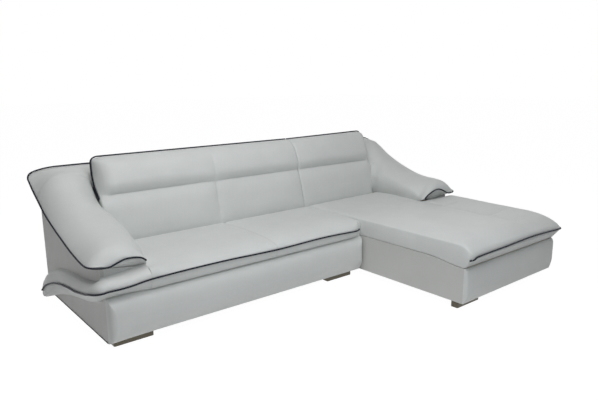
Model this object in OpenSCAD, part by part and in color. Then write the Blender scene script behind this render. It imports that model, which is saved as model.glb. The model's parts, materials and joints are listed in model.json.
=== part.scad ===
// Leather corner sofa: a two-seat section with the left arm, and a chaise with the right arm.
// Millimetres, +Z up. The front faces -Y and the chaise stands at +X. The origin lies on the
// floor under the centre of the whole sofa.
// The parts are drawn from the front left corner of the two-seat base and then moved as one.

/* [Overall] */
// Width of the two-seat section, from its outer side to the seam
main_w = 1720; // [1600:10:1900]
// Width of the chaise, from the seam to its outer side
chaise_w = 980; // [920:10:1100]
// Depth of the two-seat section, from the base front to the rear face
body_d = 945; // [925:5:985]
// How far the chaise base stands out in front of the two-seat base
chaise_out = 815; // [700:5:950]
// Gap between the two sections
seam_gap = 4; // [3:1:6]
// Clearance between a soft part and what it lies against
soft_gap = 0.4; // [0.3:0.1:0.8]

/* [Feet] */
// Height of the foot bars
foot_h = 50; // [40:1:70]
// Length of a foot bar
foot_l = 214; // [180:2:250]
// Depth of a foot bar
foot_d = 48; // [45:1:70]
// Radius of the upright edges of a foot bar
foot_round = 8; // [4:1:22]
// Distance from the outer side of the sofa to its foot bars
foot_inset = 45; // [30:1:60]
// Distance from the seam to the foot bars beside it
seam_inset = 22; // [10:1:40]
// Distance from the seam to the foot bars of the chaise
chaise_inset = 33; // [10:1:40]
// Distance from the front or rear of a section to its foot bars
foot_setback = 52; // [40:1:54]
// How much further back the outer front foot of the chaise stands
outer_foot_back = 40; // [30:1:50]
// Radius of a foot bolt
bolt_r = 4; // [3:0.5:5]
// Distance between the two bolts of a foot
bolt_spacing = 130; // [90:5:150]
// Length of a foot bolt under its head
bolt_l = 48; // [44:1:52]
// Clearance round a bolt
bolt_clear = 0.2; // [0.1:0.1:0.5]

/* [Base] */
// Height of the top of the base panels
base_top = 283; // [275:1:295]
// Height of the top of the timber rails
rail_top = 258; // [250:1:258]
// Thickness of the timber rails
rail_t = 25; // [20:1:30]
// Width of the batten that carries the feet, with its rail
batten_w = 116; // [112:1:130]
// Thickness of the batten that carries the feet
batten_t = 30; // [24:1:36]
// Thickness of an upholstered side, rear or seam panel
panel_t = 20; // [16:1:24]
// How far the two-seat base front bulges forwards
front_bulge = 60; // [20:1:70]
// How far the chaise base front bulges forwards
chaise_bulge = 24; // [12:1:30]
// How much lower the base of the chaise is at its front
chaise_dip = 24; // [0:1:24]
// Length over which the chaise base drops towards its front
dip_length = 265; // [150:5:400]
// Radius of the upright corner of a base front
corner_r = 34; // [10:1:50]
// Thickness of the dust cover
cover_t = 1; // [0.6:0.2:2]
// Height of the board that carries the rear ends of the seat webbing
spring_rail_h = 60; // [50:1:80]

/* [Suspension] */
// Width of a webbing strap
strap_w = 60; // [40:5:70]
// Thickness of a webbing strap
strap_t = 2; // [1.5:0.5:3]
// Thickness of the foam deck over the webbing
deck_t = 21; // [12:1:21]

/* [Seats] */
// Height of the edges of the seat pads
seat_h = 382; // [370:1:410]
// Rise of the seat pads above their edges
seat_crown = 18; // [6:1:30]
// Further rise of the chaise pad towards its outer side
chaise_rise = 36; // [5:1:40]
// Depth of the seats, from the base front to the back cushions
seat_d = 552; // [530:1:570]
// Width of the seat beside the seam
right_seat_w = 720; // [650:5:780]
// Height of the piped edge of the seat lips
lip_h = 345; // [335:1:355]
// How far the two-seat lip stands out over the base
lip_over = 50; // [40:1:60]
// Length over which the two-seat lip turns in beside the seam
lip_turn = 90; // [50:5:120]
// How far the chaise lip stands out over the base
chaise_lip = 48; // [30:1:52]
// How far the chaise lip stands out at the outer side
chaise_side_lip = 43; // [35:1:55]
// Depth of the sewn lines in the seats and backs
sewn_depth = 8; // [3:1:12]
// Distance from the chaise outer side to its sewn line
chaise_line_in = 330; // [300:5:400]

/* [Arms] */
// Width of an arm at the seat
arm_w = 222; // [215:1:250]
// How far an arm pad stands out over the side panel
arm_over = 63; // [50:1:75]
// Height of the piped front lip of an arm above the edges of the seat pads
arm_lip_rise = 65; // [58:1:80]
// Distance from the base front to the front facing of an arm
arm_setback = 45; // [35:1:60]
// Thickness of an arm pad at its outer edge
arm_skirt = 30; // [24:1:36]
// Thickness of an arm pad over the inner board
arm_depth = 42; // [34:1:48]
// Thickness of the part of an arm pad that hangs down to the seat
arm_hang = 12; // [8:1:12]
// How far the right arm pad's front reaches further over the chaise pad
arm_nose = 98; // [0:2:104]
// How much higher the right arm's front lip arches
arm_arch = 24; // [0:1:30]
// Height of the chaise pad under the front of the right arm, above the edges of the seat pads
chaise_press = 26; // [7:1:28]
// How far the rear of an arm pad reaches behind the back cushion
arm_tuck = 50; // [30:1:60]
// Radius of the rear corner of an arm pad
arm_rear_r = 52; // [10:1:60]
// How far a side wing stands out over the side panel
wing_over = 50; // [35:1:55]
// How far the side wing drops from the seat lip to the rear
wing_drop = 258; // [200:1:262]
// Height of a side wing above its piping at the rear
wing_rise = 80; // [60:1:90]
// Height of a side wing below its piping
wing_fall = 74; // [50:1:80]

/* [Backs] */
// Height of the piped top of the back cushions
back_h = 872; // [850:1:900]
// Height of the ledge behind the back cushions
ledge_h = 800; // [790:1:815]
// Height of the sewn line under the head roll
crease_h = 655; // [630:1:670]
// Distance from the base front to the piped top edge of the back cushions
back_top_y = 751; // [740:1:762]
// How far the back posts lean backwards over their height
post_lean = 30; // [20:1:34]
// Distance from a section's outer side to the end of its back cushion
back_inset = 239; // [238:1:280]
// Thickness of the ledge behind the back cushions
ledge_t = 15; // [10:1:20]
// How far the back cushions swell forwards
back_swell = 12; // [0:1:14]
// Rise of the chaise back cushion's top towards its outer end
back_rise = 12; // [0:1:16]
// How far the seam between the back cushions leans to the left at their top
back_slant = 31; // [0:1:40]

/* [Piping] */
// Diameter of the piping
cord_d = 9; // [5:0.5:10]
// Clearance between the piping and the edge that it follows
cord_gap = 0.3; // [0.3:0.1:0.6]

/* [Connectors] */
// Width of a connector bracket
link_w = 60; // [50:1:70]
// Thickness of the connector plates
plate_t = 3; // [2:0.5:4]
// Height of the connectors
link_z = 150; // [130:1:160]
// How deep the tongue of a connector sits in its socket
link_hold = 35; // [25:1:40]
// Lift at which the tongue is clear of its socket
lift = 40; // [40:1:45]

/* [Hidden] */
total_w = main_w + chaise_w;
chaise_front = -chaise_out;
front_reach_y = chaise_out + chaise_lip + cord_d + cord_gap;
xs = main_w - seam_gap / 2;
xc = main_w + seam_gap / 2;
seat_seam = main_w - right_seat_w;
chaise_line = total_w - chaise_line_in;
pad_bottom = base_top + 1;
deck_top = pad_bottom - soft_gap;
rail_bottom = foot_h + cover_t;
post_y = body_d - 205;
post_top = ledge_h - ledge_t;
post_foot = rail_top;
rear_rail_y = body_d - panel_t - rail_t;
spring_rail_y = seat_d + 50;
strap_lean = atan(post_lean / (post_top - post_foot));
arm_lip_h = seat_h + arm_lip_rise;
arm_in = arm_w + 13;
rear_edge = arm_in + arm_tuck + 1;
inner_x = total_w - arm_w - 3;
pad_left = arm_w + 3;
link_y = [150, body_d - 200];

leather = [0.86, 0.87, 0.88];
shade = [0.70, 0.71, 0.72];
cord_colour = [0.10, 0.11, 0.18];
timber = [0.78, 0.62, 0.42];
steel = [0.55, 0.55, 0.56];
bronze = [0.30, 0.29, 0.25];
web = [0.20, 0.20, 0.22];
foam = [0.90, 0.86, 0.70];

// Moves a part from the corner where it is drawn to the centre of the sofa
module placed() {
    translate([-total_w / 2, -(body_d - front_reach_y) / 2, 0]) children();
}

// Draws a left-hand part on the right, as its mirror image
module on_right() {
    mirror([1, 0, 0]) placed() children();
}

// Straight blend from a to b
function blend(a, b, t) = a + (b - a) * t;

// Rises from 0 to 1 as a quarter circle while t goes from 0 to 1
function rounding(t) = let (u = max(0, min(1, t))) sqrt(1 - (1 - u) * (1 - u));

// A dip of depth 1 and half width w around a line
function dip(d, w) = exp(-(d * d) / (w * w));

// Slope of a smooth curve at its point number i
function tangent(p, i) = let (a = max(0, i - 1), b = min(len(p) - 1, i + 1))
    (p[b][1] - p[a][1]) / (p[b][0] - p[a][0]);

// Number of the stretch of a curve that holds x
function stretch(p, x, i = 0) = i >= len(p) - 2 || x < p[i + 1][0] ? i : stretch(p, x, i + 1);

// Height at x of the smooth curve through the points p
function curve(p, x) =
    let (i = stretch(p, x), h = p[i + 1][0] - p[i][0],
         t = max(0, min(1, (x - p[i][0]) / h)), a = t * t * (3 - 2 * t))
    p[i][1] * (1 - a) + p[i + 1][1] * a
        + h * t * (1 - t) * ((1 - t) * tangent(p, i) - t * tangent(p, i + 1));

// Closed solid through rings of equal length; each ring runs anticlockwise seen from the end
module loft(rings) {
    n = len(rings[0]);
    last = len(rings) - 1;
    sides = [for (j = [0:last - 1], i = [0:n - 1]) let (k = (i + 1) % n)
        each [[j * n + i, (j + 1) * n + i, (j + 1) * n + k],
              [j * n + i, (j + 1) * n + k, j * n + k]]];
    start = [for (i = [0:n - 1]) i];
    end = [for (i = [n - 1:-1:0]) last * n + i];
    polyhedron([for (r = rings) each r], concat(sides, [start, end]), convexity = 8);
}

// Unit vector of v
function unit(v) = v / norm(v);

// Direction of a path at its point number i
function along(path, i) = unit(path[min(len(path) - 1, i + 1)] - path[max(0, i - 1)]);

// Sideways direction at each point of a path, turned as little as it can be
function sideways(path, i, before) =
    let (t = along(path, i), n = unit(before - (before * t) * t))
    i == len(path) - 1 ? [n] : concat([n], sideways(path, i + 1, n));

// Round cord of diameter d along a path
module cord(path, d = cord_d, sides = 8) {
    normals = sideways(path, 0, [0.31, 0.23, 0.92]);
    loft([for (i = [0:len(path) - 1]) let (n = normals[i], b = cross(along(path, i), n))
        [for (k = [0:sides - 1]) let (a = 360 * k / sides)
            path[i] + d / 2 * (n * cos(a) + b * sin(a))]]);
}

// Height of the piped lip of the two-seat pad at x
function lip_z(x) = curve([[-70, lip_h - 9], [90, lip_h - 11], [arm_w, lip_h + 2],
    [(arm_w + seat_seam) / 2, lip_h + 6], [seat_seam, lip_h - 4],
    [(seat_seam + main_w) / 2, lip_h + 1], [main_w, lip_h - 13]], x);

// Height of the piped lip of the chaise pad at x
function chaise_lip_z(x) = curve([[main_w, lip_h - 24], [main_w + 45, lip_h - 13],
    [main_w + chaise_w / 3, lip_h - 8], [main_w + chaise_w * 2 / 3, lip_h - 2],
    [total_w, lip_h - 15], [total_w + 60, lip_h - 16]], x);

// Height of the piping of a side wing, y behind the base front
function wing_z(y) = lip_h - 9 - wing_drop * curve([[0, 0.04], [0.075, 0.14], [0.26, 0.3],
    [0.41, 0.36], [0.58, 0.46], [0.75, 0.63], [0.9, 0.86], [0.94, 0.97], [0.99, 1.06]], y / body_d);

// Height of a side wing above its piping
function wing_up(y) = wing_rise * curve([[0, 0.55], [0.15, 0.66], [0.5, 0.77], [0.85, 1.02],
    [1, 0.9]], y / body_d);

// Height of a side wing below its piping
function wing_down(y) = wing_fall * curve([[0, 0.7], [0.25, 0.81], [0.5, 1], [0.78, 1.08],
    [0.9, 0.9], [0.95, 0.66], [1, 0.42]], y / body_d);

// Share of an arm's climb from its front lip to the ledge, at the crest, outer and inner edge
function arm_climb(share) = arm_lip_h + (ledge_h - arm_lip_h) * share;
function arm_crest(y) = arm_climb(curve([[0, 0.16], [0.06, 0.225], [0.335, 0.35], [0.52, 0.52],
    [0.66, 0.7], [0.81, 0.96], [0.88, 1], [1, 1]], y / body_d));
function arm_outer(y) = arm_climb(curve([[0, 0.005], [0.1, 0.01], [0.25, 0.08], [0.4, 0.19],
    [0.55, 0.31], [0.67, 0.43], [0.775, 0.58], [0.87, 0.72], [0.93, 0.83], [1, 0.95]], y / body_d));
function arm_inner(y) = arm_climb(curve([[0, -0.05], [0.08, -0.03], [0.12, 0.05], [0.21, 0.135],
    [0.47, 0.32], [0.7, 0.5], [0.83, 0.85], [0.92, 0.99], [1, 1]], y / body_d));

// Height of the front lip of an arm, from its outer corner at s = 0 to its inner end at s = 1
function arm_lip(s, nose = 0) = arm_lip_h + curve([[0, 2], [0.08, -9], [0.2, -7], [0.31, 0],
    [0.5, 10], [0.72, 10], [0.87, 5], [0.95, -4], [1, -14]], s)
    + (nose > 0 ? arm_arch * curve([[0, 0], [0.16, 0.35], [0.38, 1], [0.6, 1.1], [0.85, 0.45],
        [1, 0.2]], s) : 0);

// Outer and inner edge of an arm pad in plan
arm_front = -5;
arm_corner = 62;
tuck_y = back_top_y + 12;
tuck_l = 30;
function arm_x_out(y) = -arm_over + arm_corner * (1 - rounding((y - arm_front) / arm_corner))
    + arm_rear_r * (1 - rounding((body_d - y) / arm_rear_r));
function arm_x_in(y, nose = 0) = y > tuck_y ? arm_in + arm_tuck * rounding((y - tuck_y) / tuck_l)
    : curve([[arm_front, arm_w - 6 + nose], [25, arm_w + 8 + nose * 0.85], [70, arm_in + 4 + nose * 0.5],
        [180, arm_in + 6 + nose * 0.3], [340, arm_in + 11], [500, arm_in + 9], [545, arm_in],
        [tuck_y, arm_in]], y);

// Height of the underside of an arm pad at its outer and inner edge
function arm_under_out(y) = arm_outer(y) - arm_skirt;
function arm_under_in(y) = max(arm_inner(y) - arm_depth, seat_h + 14);

// Top of an arm pad at y, s across from its outer to its inner edge
function arm_top(y, s, nose = 0) =
    let (crest = arm_crest(y), top = s < 0.5
        ? crest - (crest - arm_outer(y)) * pow(1 - 2 * s, 2.4)
        : crest - (crest - arm_inner(y)) * pow(2 * s - 1, 2.2))
    blend(arm_lip(s, nose), top, rounding((y - arm_front) / arm_corner));

// Crown of the two-seat pad at y, as a share; and how high the arm's end presses the chaise pad
function seat_share(y) = curve([[0, 0.05], [0.07, 0.4], [0.22, 0.8], [0.5, 1], [0.8, 0.75], [0.97, 0.05],
    [1, 0.05]], y / seat_d);
function press_h(y) = seat_h + chaise_press * (1 - max(0, min(1, (y - 40) / 400)));

// Lower edge of the part that hangs down to the seat, and rises behind the back cushion
function arm_low(y, nose) = let (sit = 2 + (nose > 0 ? press_h(y) : seat_h + seat_crown * seat_share(y)))
    blend(sit, arm_under_in(y) - 2, max(0, min(1, (y - 640) / 100)));

// Ring of an arm pad: over the top from the outer edge to the inner edge, and back underneath
arm_steps = [0, 0.035, 0.12, 0.24, 0.37, 0.5, 0.63, 0.76, 0.87, 0.95, 1];
function arm_ring(y, nose) =
    let (xo = arm_x_out(y), xi = arm_x_in(y, nose), low = arm_low(y, nose), up = max(arm_under_in(y), low + 2),
         k = max(0.04, min(1, (y - arm_front) / (arm_setback - arm_front))))
    concat([for (s = arm_steps) [blend(xo, xi, s), y, arm_top(y, s, nose)]],
        [for (q = [[xi, low, 3], [xi - arm_hang, low, 3], [xi - arm_hang, up, 1.5],
                   [min(arm_w - 2, xi - arm_hang - 2), up, 1.5],
                   [arm_w - rail_t - 1, arm_under_in(y), 1.5], [panel_t + 1, arm_under_out(y), 1.5],
                   [1, arm_under_out(y), 1.5]])
            [q[0], y, blend(arm_lip((q[0] - xo) / (xi - xo), nose) - q[2], q[1], k)]]);
arm_ys = [arm_front, arm_front + 1.5, arm_front + 7, 12, 28, arm_setback, 62, 90, 130, 200, 290, 390,
    440, 490, 545, 580, 640, 690, 740, tuck_y, tuck_y + 3, tuck_y + 10, tuck_y + 20, tuck_y + 30, 850,
    body_d - arm_rear_r, body_d - 36, body_d - 22, body_d - 11, body_d - 3, body_d];

module arm_pad(nose) {
    color(leather) loft([for (y = arm_ys) arm_ring(y, nose)]);
}

// Piping of an arm pad: along the rear edge, round the corner, down the outer edge, along the lip
cord_out = cord_d / 2 + cord_gap;
cord_up = cord_out + 0.6;
function arm_z(x, y) = let (xo = arm_x_out(y), xi = arm_x_in(y)) arm_top(y, max(0, (x - xo) / (xi - xo)));
arm_cord_rear = [for (i = [len(arm_steps) - 1:-1:1])
    let (x = blend(arm_rear_r - arm_over, rear_edge - 1, arm_steps[i]), y = body_d - cord_out)
    [x, y, arm_z(x, y) + cord_up]];
arm_cord_turn = [for (a = [0:15:90])
    let (t = a / 90, out = blend(-cord_out, cord_up, t), up = cord_up * cos(90 * max(0, 2 * t - 1)),
         x = arm_rear_r - arm_over - (arm_rear_r + out) * sin(a),
         y = body_d - arm_rear_r + (arm_rear_r + out) * cos(a))
    [x, y, arm_z(x, y) + up]];
arm_cord_side = [for (i = [len(arm_ys) - 7:-1:7])
    [-arm_over - cord_out, arm_ys[i], arm_outer(arm_ys[i])]];
arm_cord_corner = [for (a = [0:15:90])
    [-arm_over + arm_corner - (arm_corner + cord_out) * cos(a),
     arm_front + arm_corner - (arm_corner + cord_out) * sin(a),
     blend(arm_outer(arm_corner), arm_lip(0.06), a / 90)]];
function arm_cord_lip(nose) = [for (s = [0.1, 0.2, 0.3, 0.4, 0.5, 0.63, 0.76, 0.87, 0.95, 1])
    [blend(arm_corner - arm_over, arm_x_in(arm_front, nose), s), arm_front - cord_out, arm_lip(s, nose)]];

module arm_piping(nose) {
    color(cord_colour) cord(concat(arm_cord_rear, arm_cord_turn, arm_cord_side, arm_cord_corner,
        arm_cord_lip(nose)));
}

// Height of the top of the base at y, and that line from the arm to the front at y = from
function top_at(y) = let (t = max(0, min(1, (chaise_front + dip_length - y) / dip_length)))
    base_top - chaise_dip * t * t * (3 - 2 * t);
function top_line(from) = from >= 0 ? [[from, base_top]]
    : [for (t = [1, 0.8, 0.6, 0.4, 0.2, 0]) let (y = chaise_front + dip_length * t) [y, top_at(y)]];

// Side outline of an arm from y = from: base, facing line and the slope under the pad
function side_outline(from) = concat(
    [[from, foot_h + cover_t], [body_d, foot_h + cover_t]],
    [for (i = [len(arm_ys) - 1:-1:6]) [arm_ys[i], arm_under_out(arm_ys[i]) - soft_gap]],
    [[arm_setback, arm_under_out(arm_setback) - soft_gap], [arm_setback, base_top]], top_line(from));

// Upholstered side board
module side_panel(from) {
    color(shade) rotate([90, 0, 90]) linear_extrude(panel_t) polygon(side_outline(from));
}

// Inner arm board: thinner than the rail that it stands on, so that the webbing rests there too
arm_board_ys = [690, 640, 580, 545, 490, 440, 390, 290, 200, 130, 90];
web_rest = 7;
board_t = rail_t - web_rest - 2;

// Inner arm board with the spacers that tie it to the side board
module arm_frame() {
    color(timber) {
        translate([arm_w - rail_t, 0, 0]) rotate([90, 0, 90]) linear_extrude(board_t) polygon(concat(
            [[arm_setback + 17, rail_top], [arm_board_ys[0], rail_top]],
            [for (y = arm_board_ys) [y, arm_under_in(y) - 1]],
            [[arm_setback + 17, seat_h + 8]]));
        for (y = [120, 380, 640])
            translate([panel_t, y, rail_top + 40]) cube([arm_w - rail_t - panel_t + 1, rail_t, 60]);
    }
}

// Front facing of an arm, under the lip
module arm_facing() {
    low = rail_top + 2 * strap_t + 1;
    inner = arm_under_in(arm_setback) - 1;
    color(leather) translate([0, arm_setback + 15, 0]) rotate([90, 0, 0]) linear_extrude(15) polygon([
        [panel_t, low], [arm_w - 1, low], [arm_w - 1, inner], [arm_w - rail_t - 1, inner],
        [panel_t, arm_under_out(arm_setback) - 1]]);
}

// Ring of a side wing at a backing point, standing out by e along the direction dir: full swells it
// underneath, flat takes it to the section of the seat pad beside it
function wing_ring(p, dir, e, shelf, down, mid, up, full = 0, flat = 0) =
    [for (q = [[soft_gap, down], [shelf, down],
        [blend(blend(shelf, e, 0.6), e * 0.94, full), blend(down, mid, blend(0.42, 0.14, full))],
        [e, mid], [e * 0.93, blend(mid, up, blend(0.4, 0.36, flat))],
        [e * 0.66, blend(mid, up, blend(0.8, 0.68, flat))], [soft_gap, up]])
        [p[0] + dir[0] * q[0], p[1] + dir[1] * q[0], q[1]]];

// How far the wing stands out, y behind the base front, with its rounded rear end
wing_end = 40;
corner_extra = 12;
function wing_reach(y, extra = corner_extra) = max(8, (wing_over + extra * dip(y - arm_setback, 90))
    * rounding((body_d - 4 - y) / wing_end));
front_reach = lip_over + arm_setback;

// Reach from the arm's front corner to the lip, at an angle from the front to the side
function corner_reach(a) =
    let (p = 2.6, f = sin(a) / wing_reach(arm_setback), g = cos(a) / front_reach)
    pow(pow(f, p) + pow(g, p), -1 / p);
wing_xs = [arm_w + 2, 190, 130, 70, 30, 0];
wing_ys = [arm_setback, 80, 130, 200, 300, 400, 500, 600, 700, 790, 860, 900, 925, 938];
corner_turn = [15:15:75];

function wing_front_rings() = [for (x = wing_xs) let (flat = max(0, min(1, (x - 110) / 110)))
    wing_ring([x, arm_setback], [0, -1], front_reach, arm_setback, pad_bottom, lip_z(x),
        seat_h - 3 + 8 * flat, 0, flat)];
function wing_corner_rings() = [for (a = corner_turn) let (t = a / 90) wing_ring([0, arm_setback],
    [-sin(a), -cos(a)], corner_reach(a), blend(arm_setback, 4, t),
    blend(pad_bottom, wing_z(arm_setback) - wing_down(arm_setback), t),
    blend(lip_z(0), wing_z(arm_setback), t),
    blend(seat_h - 3, wing_z(arm_setback) + wing_up(arm_setback), t))];
function wing_side_rings(extra = corner_extra) = [for (y = wing_ys) let (e = wing_reach(y, extra))
    wing_ring([0, y], [-1, 0], e, min(4, e / 2), wing_z(y) - wing_down(y), wing_z(y),
        wing_z(y) + wing_up(y), max(0, min(1, (y - 450) / 350)))];

// Piping path of a wing, from the front to the rear
function wing_path_front() = [for (x = [190, 130, 70, 30, 0])
    [x, -lip_over - cord_out, lip_z(x)]];
function wing_path_corner() = [for (a = corner_turn) let (r = corner_reach(a) + cord_out)
    [-r * sin(a), arm_setback - r * cos(a), blend(lip_z(0), wing_z(arm_setback), a / 90)]];
function wing_path_side(extra = corner_extra) = [for (y = wing_ys) if (y < 930)
    [-wing_reach(y, extra) - cord_out - 0.4, y, wing_z(y)]];

// Edge drop that rounds a pad near its end, d away from it
function end_drop(d, h = 11, r = 45) = h * (1 - rounding(d / r));

// Section of the two-seat pad at x, from the lip underneath and back over the top
function pad_top(x, crown) = seat_h + crown - end_drop(xs - x) - end_drop(x - pad_left, 3, 20)
    - sewn_depth * dip(x - seat_seam, 12);
pad_rear = seat_d - 3;

// How far the lip stands out at x: it turns in beside the seam
function lip_out(x) = lip_over * (0.1 + 0.9 * rounding((xs - x) / lip_turn));
function seat_ring(x) = let (r = lip_z(x), out = lip_out(x)) [for (q = [
    [-out, r], [-out * 0.72, r - 17], [-out * 0.3, pad_bottom + 12], [0, pad_bottom],
    [pad_rear, pad_bottom], [pad_rear + 0.5, seat_h - 22], [pad_rear - 14, pad_top(x, 1)],
    [pad_rear - 110, pad_top(x, seat_crown * 0.75)], [seat_d * 0.5, pad_top(x, seat_crown)],
    [seat_d * 0.22, pad_top(x, seat_crown * 0.8)], [seat_d * 0.07, pad_top(x, seat_crown * 0.4)],
    [0, pad_top(x, 1)], [-out * 0.55, pad_top(x, -8)],
    [-out * 0.88, blend(r, seat_h - 8, 0.55)]]) [x, q[0], q[1]]];
seat_xs = concat([for (d = [0, 4, 16, 45]) pad_left + d],
    [for (t = [0.2, 0.5, 0.8]) blend(pad_left, seat_seam, t)],
    [for (d = [-60, -25, -10, 0, 10, 25, 60]) seat_seam + d],
    [for (t = [0.25, 0.5, 0.75]) blend(seat_seam, xs, t)],
    [for (t = [1, 0.66, 0.36, 0.16, 0.05, 0]) xs - lip_turn * t]);

module sofa_seat_pad() {
    color(leather) placed() loft([for (x = seat_xs) seat_ring(x)]);
}

module left_wing_pad() {
    color(leather) placed() loft(concat(wing_front_rings(), wing_corner_rings(), wing_side_rings()));
}

module right_wing_pad() {
    color(leather) on_right() loft(wing_side_rings(0));
}

// Edge of the two-seat lip in plan at its ring number i
function lip_edge(i) = let (x = seat_xs[max(0, i)]) [x, -lip_out(x)];

module sofa_seat_piping() {
    color(cord_colour) placed() cord(concat(
        [for (i = [len(seat_xs) - 2:-1:0]) let (p = lip_edge(i), d = unit(lip_edge(i + 1) - lip_edge(i - 1)))
            [p[0] + cord_out * d[1], p[1] - cord_out * d[0], lip_z(p[0])]],
        wing_path_front(), wing_path_corner(), wing_path_side()));
}

// Chaise pad: rings across it, from the lip at the front to the back cushion
lip_front = chaise_front - chaise_lip;
chaise_turn = 46;
chaise_nook = 28;
chaise_side = total_w + chaise_side_lip;
wide_end = arm_setback - soft_gap;

// Drop of the pad's soft edge at the seam, and along its sewn lines
function chaise_left(x) = 14 * (1 - rounding((x - xc) / 40));
function chaise_sewn(x, y) = sewn_depth * 0.7 * (
    dip(x - chaise_line, 14) * (1 - dip(y - lip_front, 170)) * (y < -60 ? 1 : exp(-(y + 60) / 60))
    + (dip(y - chaise_front - 275, 14) + dip(y - chaise_front - 625, 14))
        * rounding((x - chaise_line) / 30) * dip(x - chaise_line - 40, 130) * (x < chaise_line ? 0 : 1));

// Share by which the right arm pad presses the chaise pad down at x, y
function arm_press(x, y) = rounding((x - total_w + arm_x_in(y, arm_nose) + 50) / 40)
    * pow(max(0, min(1, (y + 60) / 100)), 2);

// Share by which the pad is lower out of sight under the arm, where it narrows
function under_arm(x, y) = max(0, min(1, (x - inner_x) / 24), dip(y - wide_end, 20)
    * min(1, (x - total_w + arm_x_in(y, arm_nose) - arm_hang) / 16));
function chaise_full(x, y) = let (
    rise = chaise_rise * (x - xc) / chaise_w * (1 - 0.4 * max(0, -y / chaise_out, 1.4 * y / seat_d)),
    z = blend(seat_h, seat_h + seat_crown + rise, rounding((pad_rear - y) / 120)) - chaise_left(x)
        - chaise_sewn(x, y))
    blend(z, min(z, blend(press_h(y), seat_h + 12, under_arm(x, y))), arm_press(x, y));

// Seam side of the pad at y, with its rounded front corner
function chaise_in_x(y) = xc + chaise_nook * (1 - rounding((y - lip_front) / chaise_nook));

// Outer side of the pad at y: wide in front of the arm, narrow beside it
function chaise_out_x(y) = y < wide_end - 0.5
    ? chaise_side - chaise_turn * (1 - rounding((y - lip_front) / chaise_turn)) : inner_x;
function chaise_z(x, y) = let (side = chaise_out_x(y),
    front = 100 + 110 * pow(max(0, x - xc) / chaise_w, 1.5),
    k = rounding((y - lip_front) / front) * rounding((side - x + (y < wide_end - 0.5 ? 0 : 40)) / 95))
    blend(chaise_lip_z(x), chaise_full(x, y), k);
line_step = 0.64;
chaise_steps = [0, 0.02, 0.06, 0.16, 0.28, 0.4, 0.5, 0.58, 0.625, line_step, 0.655, 0.7, 0.76, 0.83,
    0.9, 0.93, 0.96, 0.985, 1];
function chaise_x(left, side, s) = s < line_step ? blend(left, chaise_line, s / line_step)
    : blend(chaise_line, side, (s - line_step) / (1 - line_step));

// Ring of the chaise pad at y: a skirt round its edge hangs down to the dipped base, outside the deck
deck_front = chaise_front + rail_t - web_rest;
function chaise_ring(y) = let (left = chaise_in_x(y), side = chaise_out_x(y), wide = y < wide_end - 0.5,
    under = blend(chaise_lip_z(xc), top_at(y) + 1, max(0.05, min(1, (y - lip_front) / chaise_lip))),
    foot = wide ? min(total_w, side - 4) : inner_x, skirt = panel_t - soft_gap,
    deck = (y < deck_front - 1 ? under : pad_bottom) + 0.4)
    concat([[left, y, under]],
        [for (s = chaise_steps) let (x = chaise_x(left, side, s)) [x, y, chaise_z(x, y)]],
        [[blend(foot, side, 0.5) + 1, y, blend(under, chaise_z(side, y), 0.4)], [foot, y, under],
         [foot - skirt, y, under + 0.1], [foot - skirt - 0.2, y, deck], [left + skirt + 0.2, y, deck],
         [left + skirt, y, under + 0.1]]);
chaise_ys = concat([for (d = [0, 3, 10, 22, chaise_lip]) lip_front + d],
    [deck_front - 1.5, deck_front - 1],
    [for (d = [60, 110, 170, 250, 275, 300, 450, 600, 625, 650]) chaise_front + d],
    [-110, -60, -20, 15, wide_end - 1, wide_end, 90, 220, 380, 440, pad_rear - 60, pad_rear - 20, pad_rear]);

module chaise_seat_pad() {
    color(leather) placed() loft([for (y = chaise_ys) chaise_ring(y)]);
}

// Piping of the chaise pad: along the front lip, round the corner and back along the side
module chaise_seat_piping() {
    turn = chaise_turn + cord_out;
    side_z = chaise_lip_z(total_w + 30);
    nook = chaise_nook + cord_out;
    color(cord_colour) placed() cord(concat(
        [for (a = [48:-12:0]) let (x = xc + chaise_nook - nook * sin(a))
            [x, lip_front + chaise_nook - nook * cos(a), chaise_lip_z(x)]],
        [for (s = [0.08, 0.16, 0.28, 0.4, 0.5, 0.6, 0.7, 0.8, 0.88, 0.94])
            let (x = blend(xc, chaise_side, s)) [x, lip_front - cord_out, chaise_lip_z(x)]],
        [for (a = [15:15:90]) [chaise_side - chaise_turn + turn * sin(a),
            lip_front + chaise_turn - turn * cos(a), side_z]],
        [for (t = [0.2, 0.4, 0.6, 0.8, 1]) [chaise_side + cord_out, chaise_front * (1 - t), side_z]],
        [for (p = wing_path_side(0)) [total_w - p[0], p[1], p[2]]]));
}

// Outline in plan of a base front of width w, with rounded upright corners of radius a and b
module front_plan(w, bulge, a, b) {
    translate([a, -bulge]) square([w - a - b, bulge]);
    translate([0, a - bulge]) square([w / 2, bulge - a]);
    translate([a, a - bulge]) circle(r = a, $fn = 64);
    translate([w / 2, b - bulge]) square([w / 2, bulge - b]);
    translate([w - b, b - bulge]) circle(r = b, $fn = 64);
}

// Base front with a bulge, from x = 0 to w: fullest above its middle, drawn in at both edges
module base_front(w, bulge, a, b, top = base_top) {
    z0 = rail_bottom;
    h = top - z0;
    fullness = [[0, 0.03], [0.06, 0.2], [0.29, 0.8], [0.5, 0.97], [0.68, 1], [0.86, 0.84],
        [0.96, 0.5], [1, 0.1]];
    intersection() {
        rotate([90, 0, 90]) linear_extrude(w) polygon(concat(
            [for (i = [0:18]) let (t = i / 18) [-bulge * curve(fullness, t), z0 + h * t]],
            [[0, top], [0, z0]]));
        linear_extrude(top) front_plan(w, bulge, a, b);
    }
}

module sofa_base_front() {
    color(leather) placed() base_front(xs, front_bulge, min(corner_r, front_bulge - 2), front_bulge - 2);
}

module chaise_base_front() {
    r = min(corner_r, chaise_bulge - 2);
    color(leather) placed() translate([xc, chaise_front, 0])
        base_front(total_w - xc, chaise_bulge, r, r, top_at(chaise_front));
}

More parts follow.
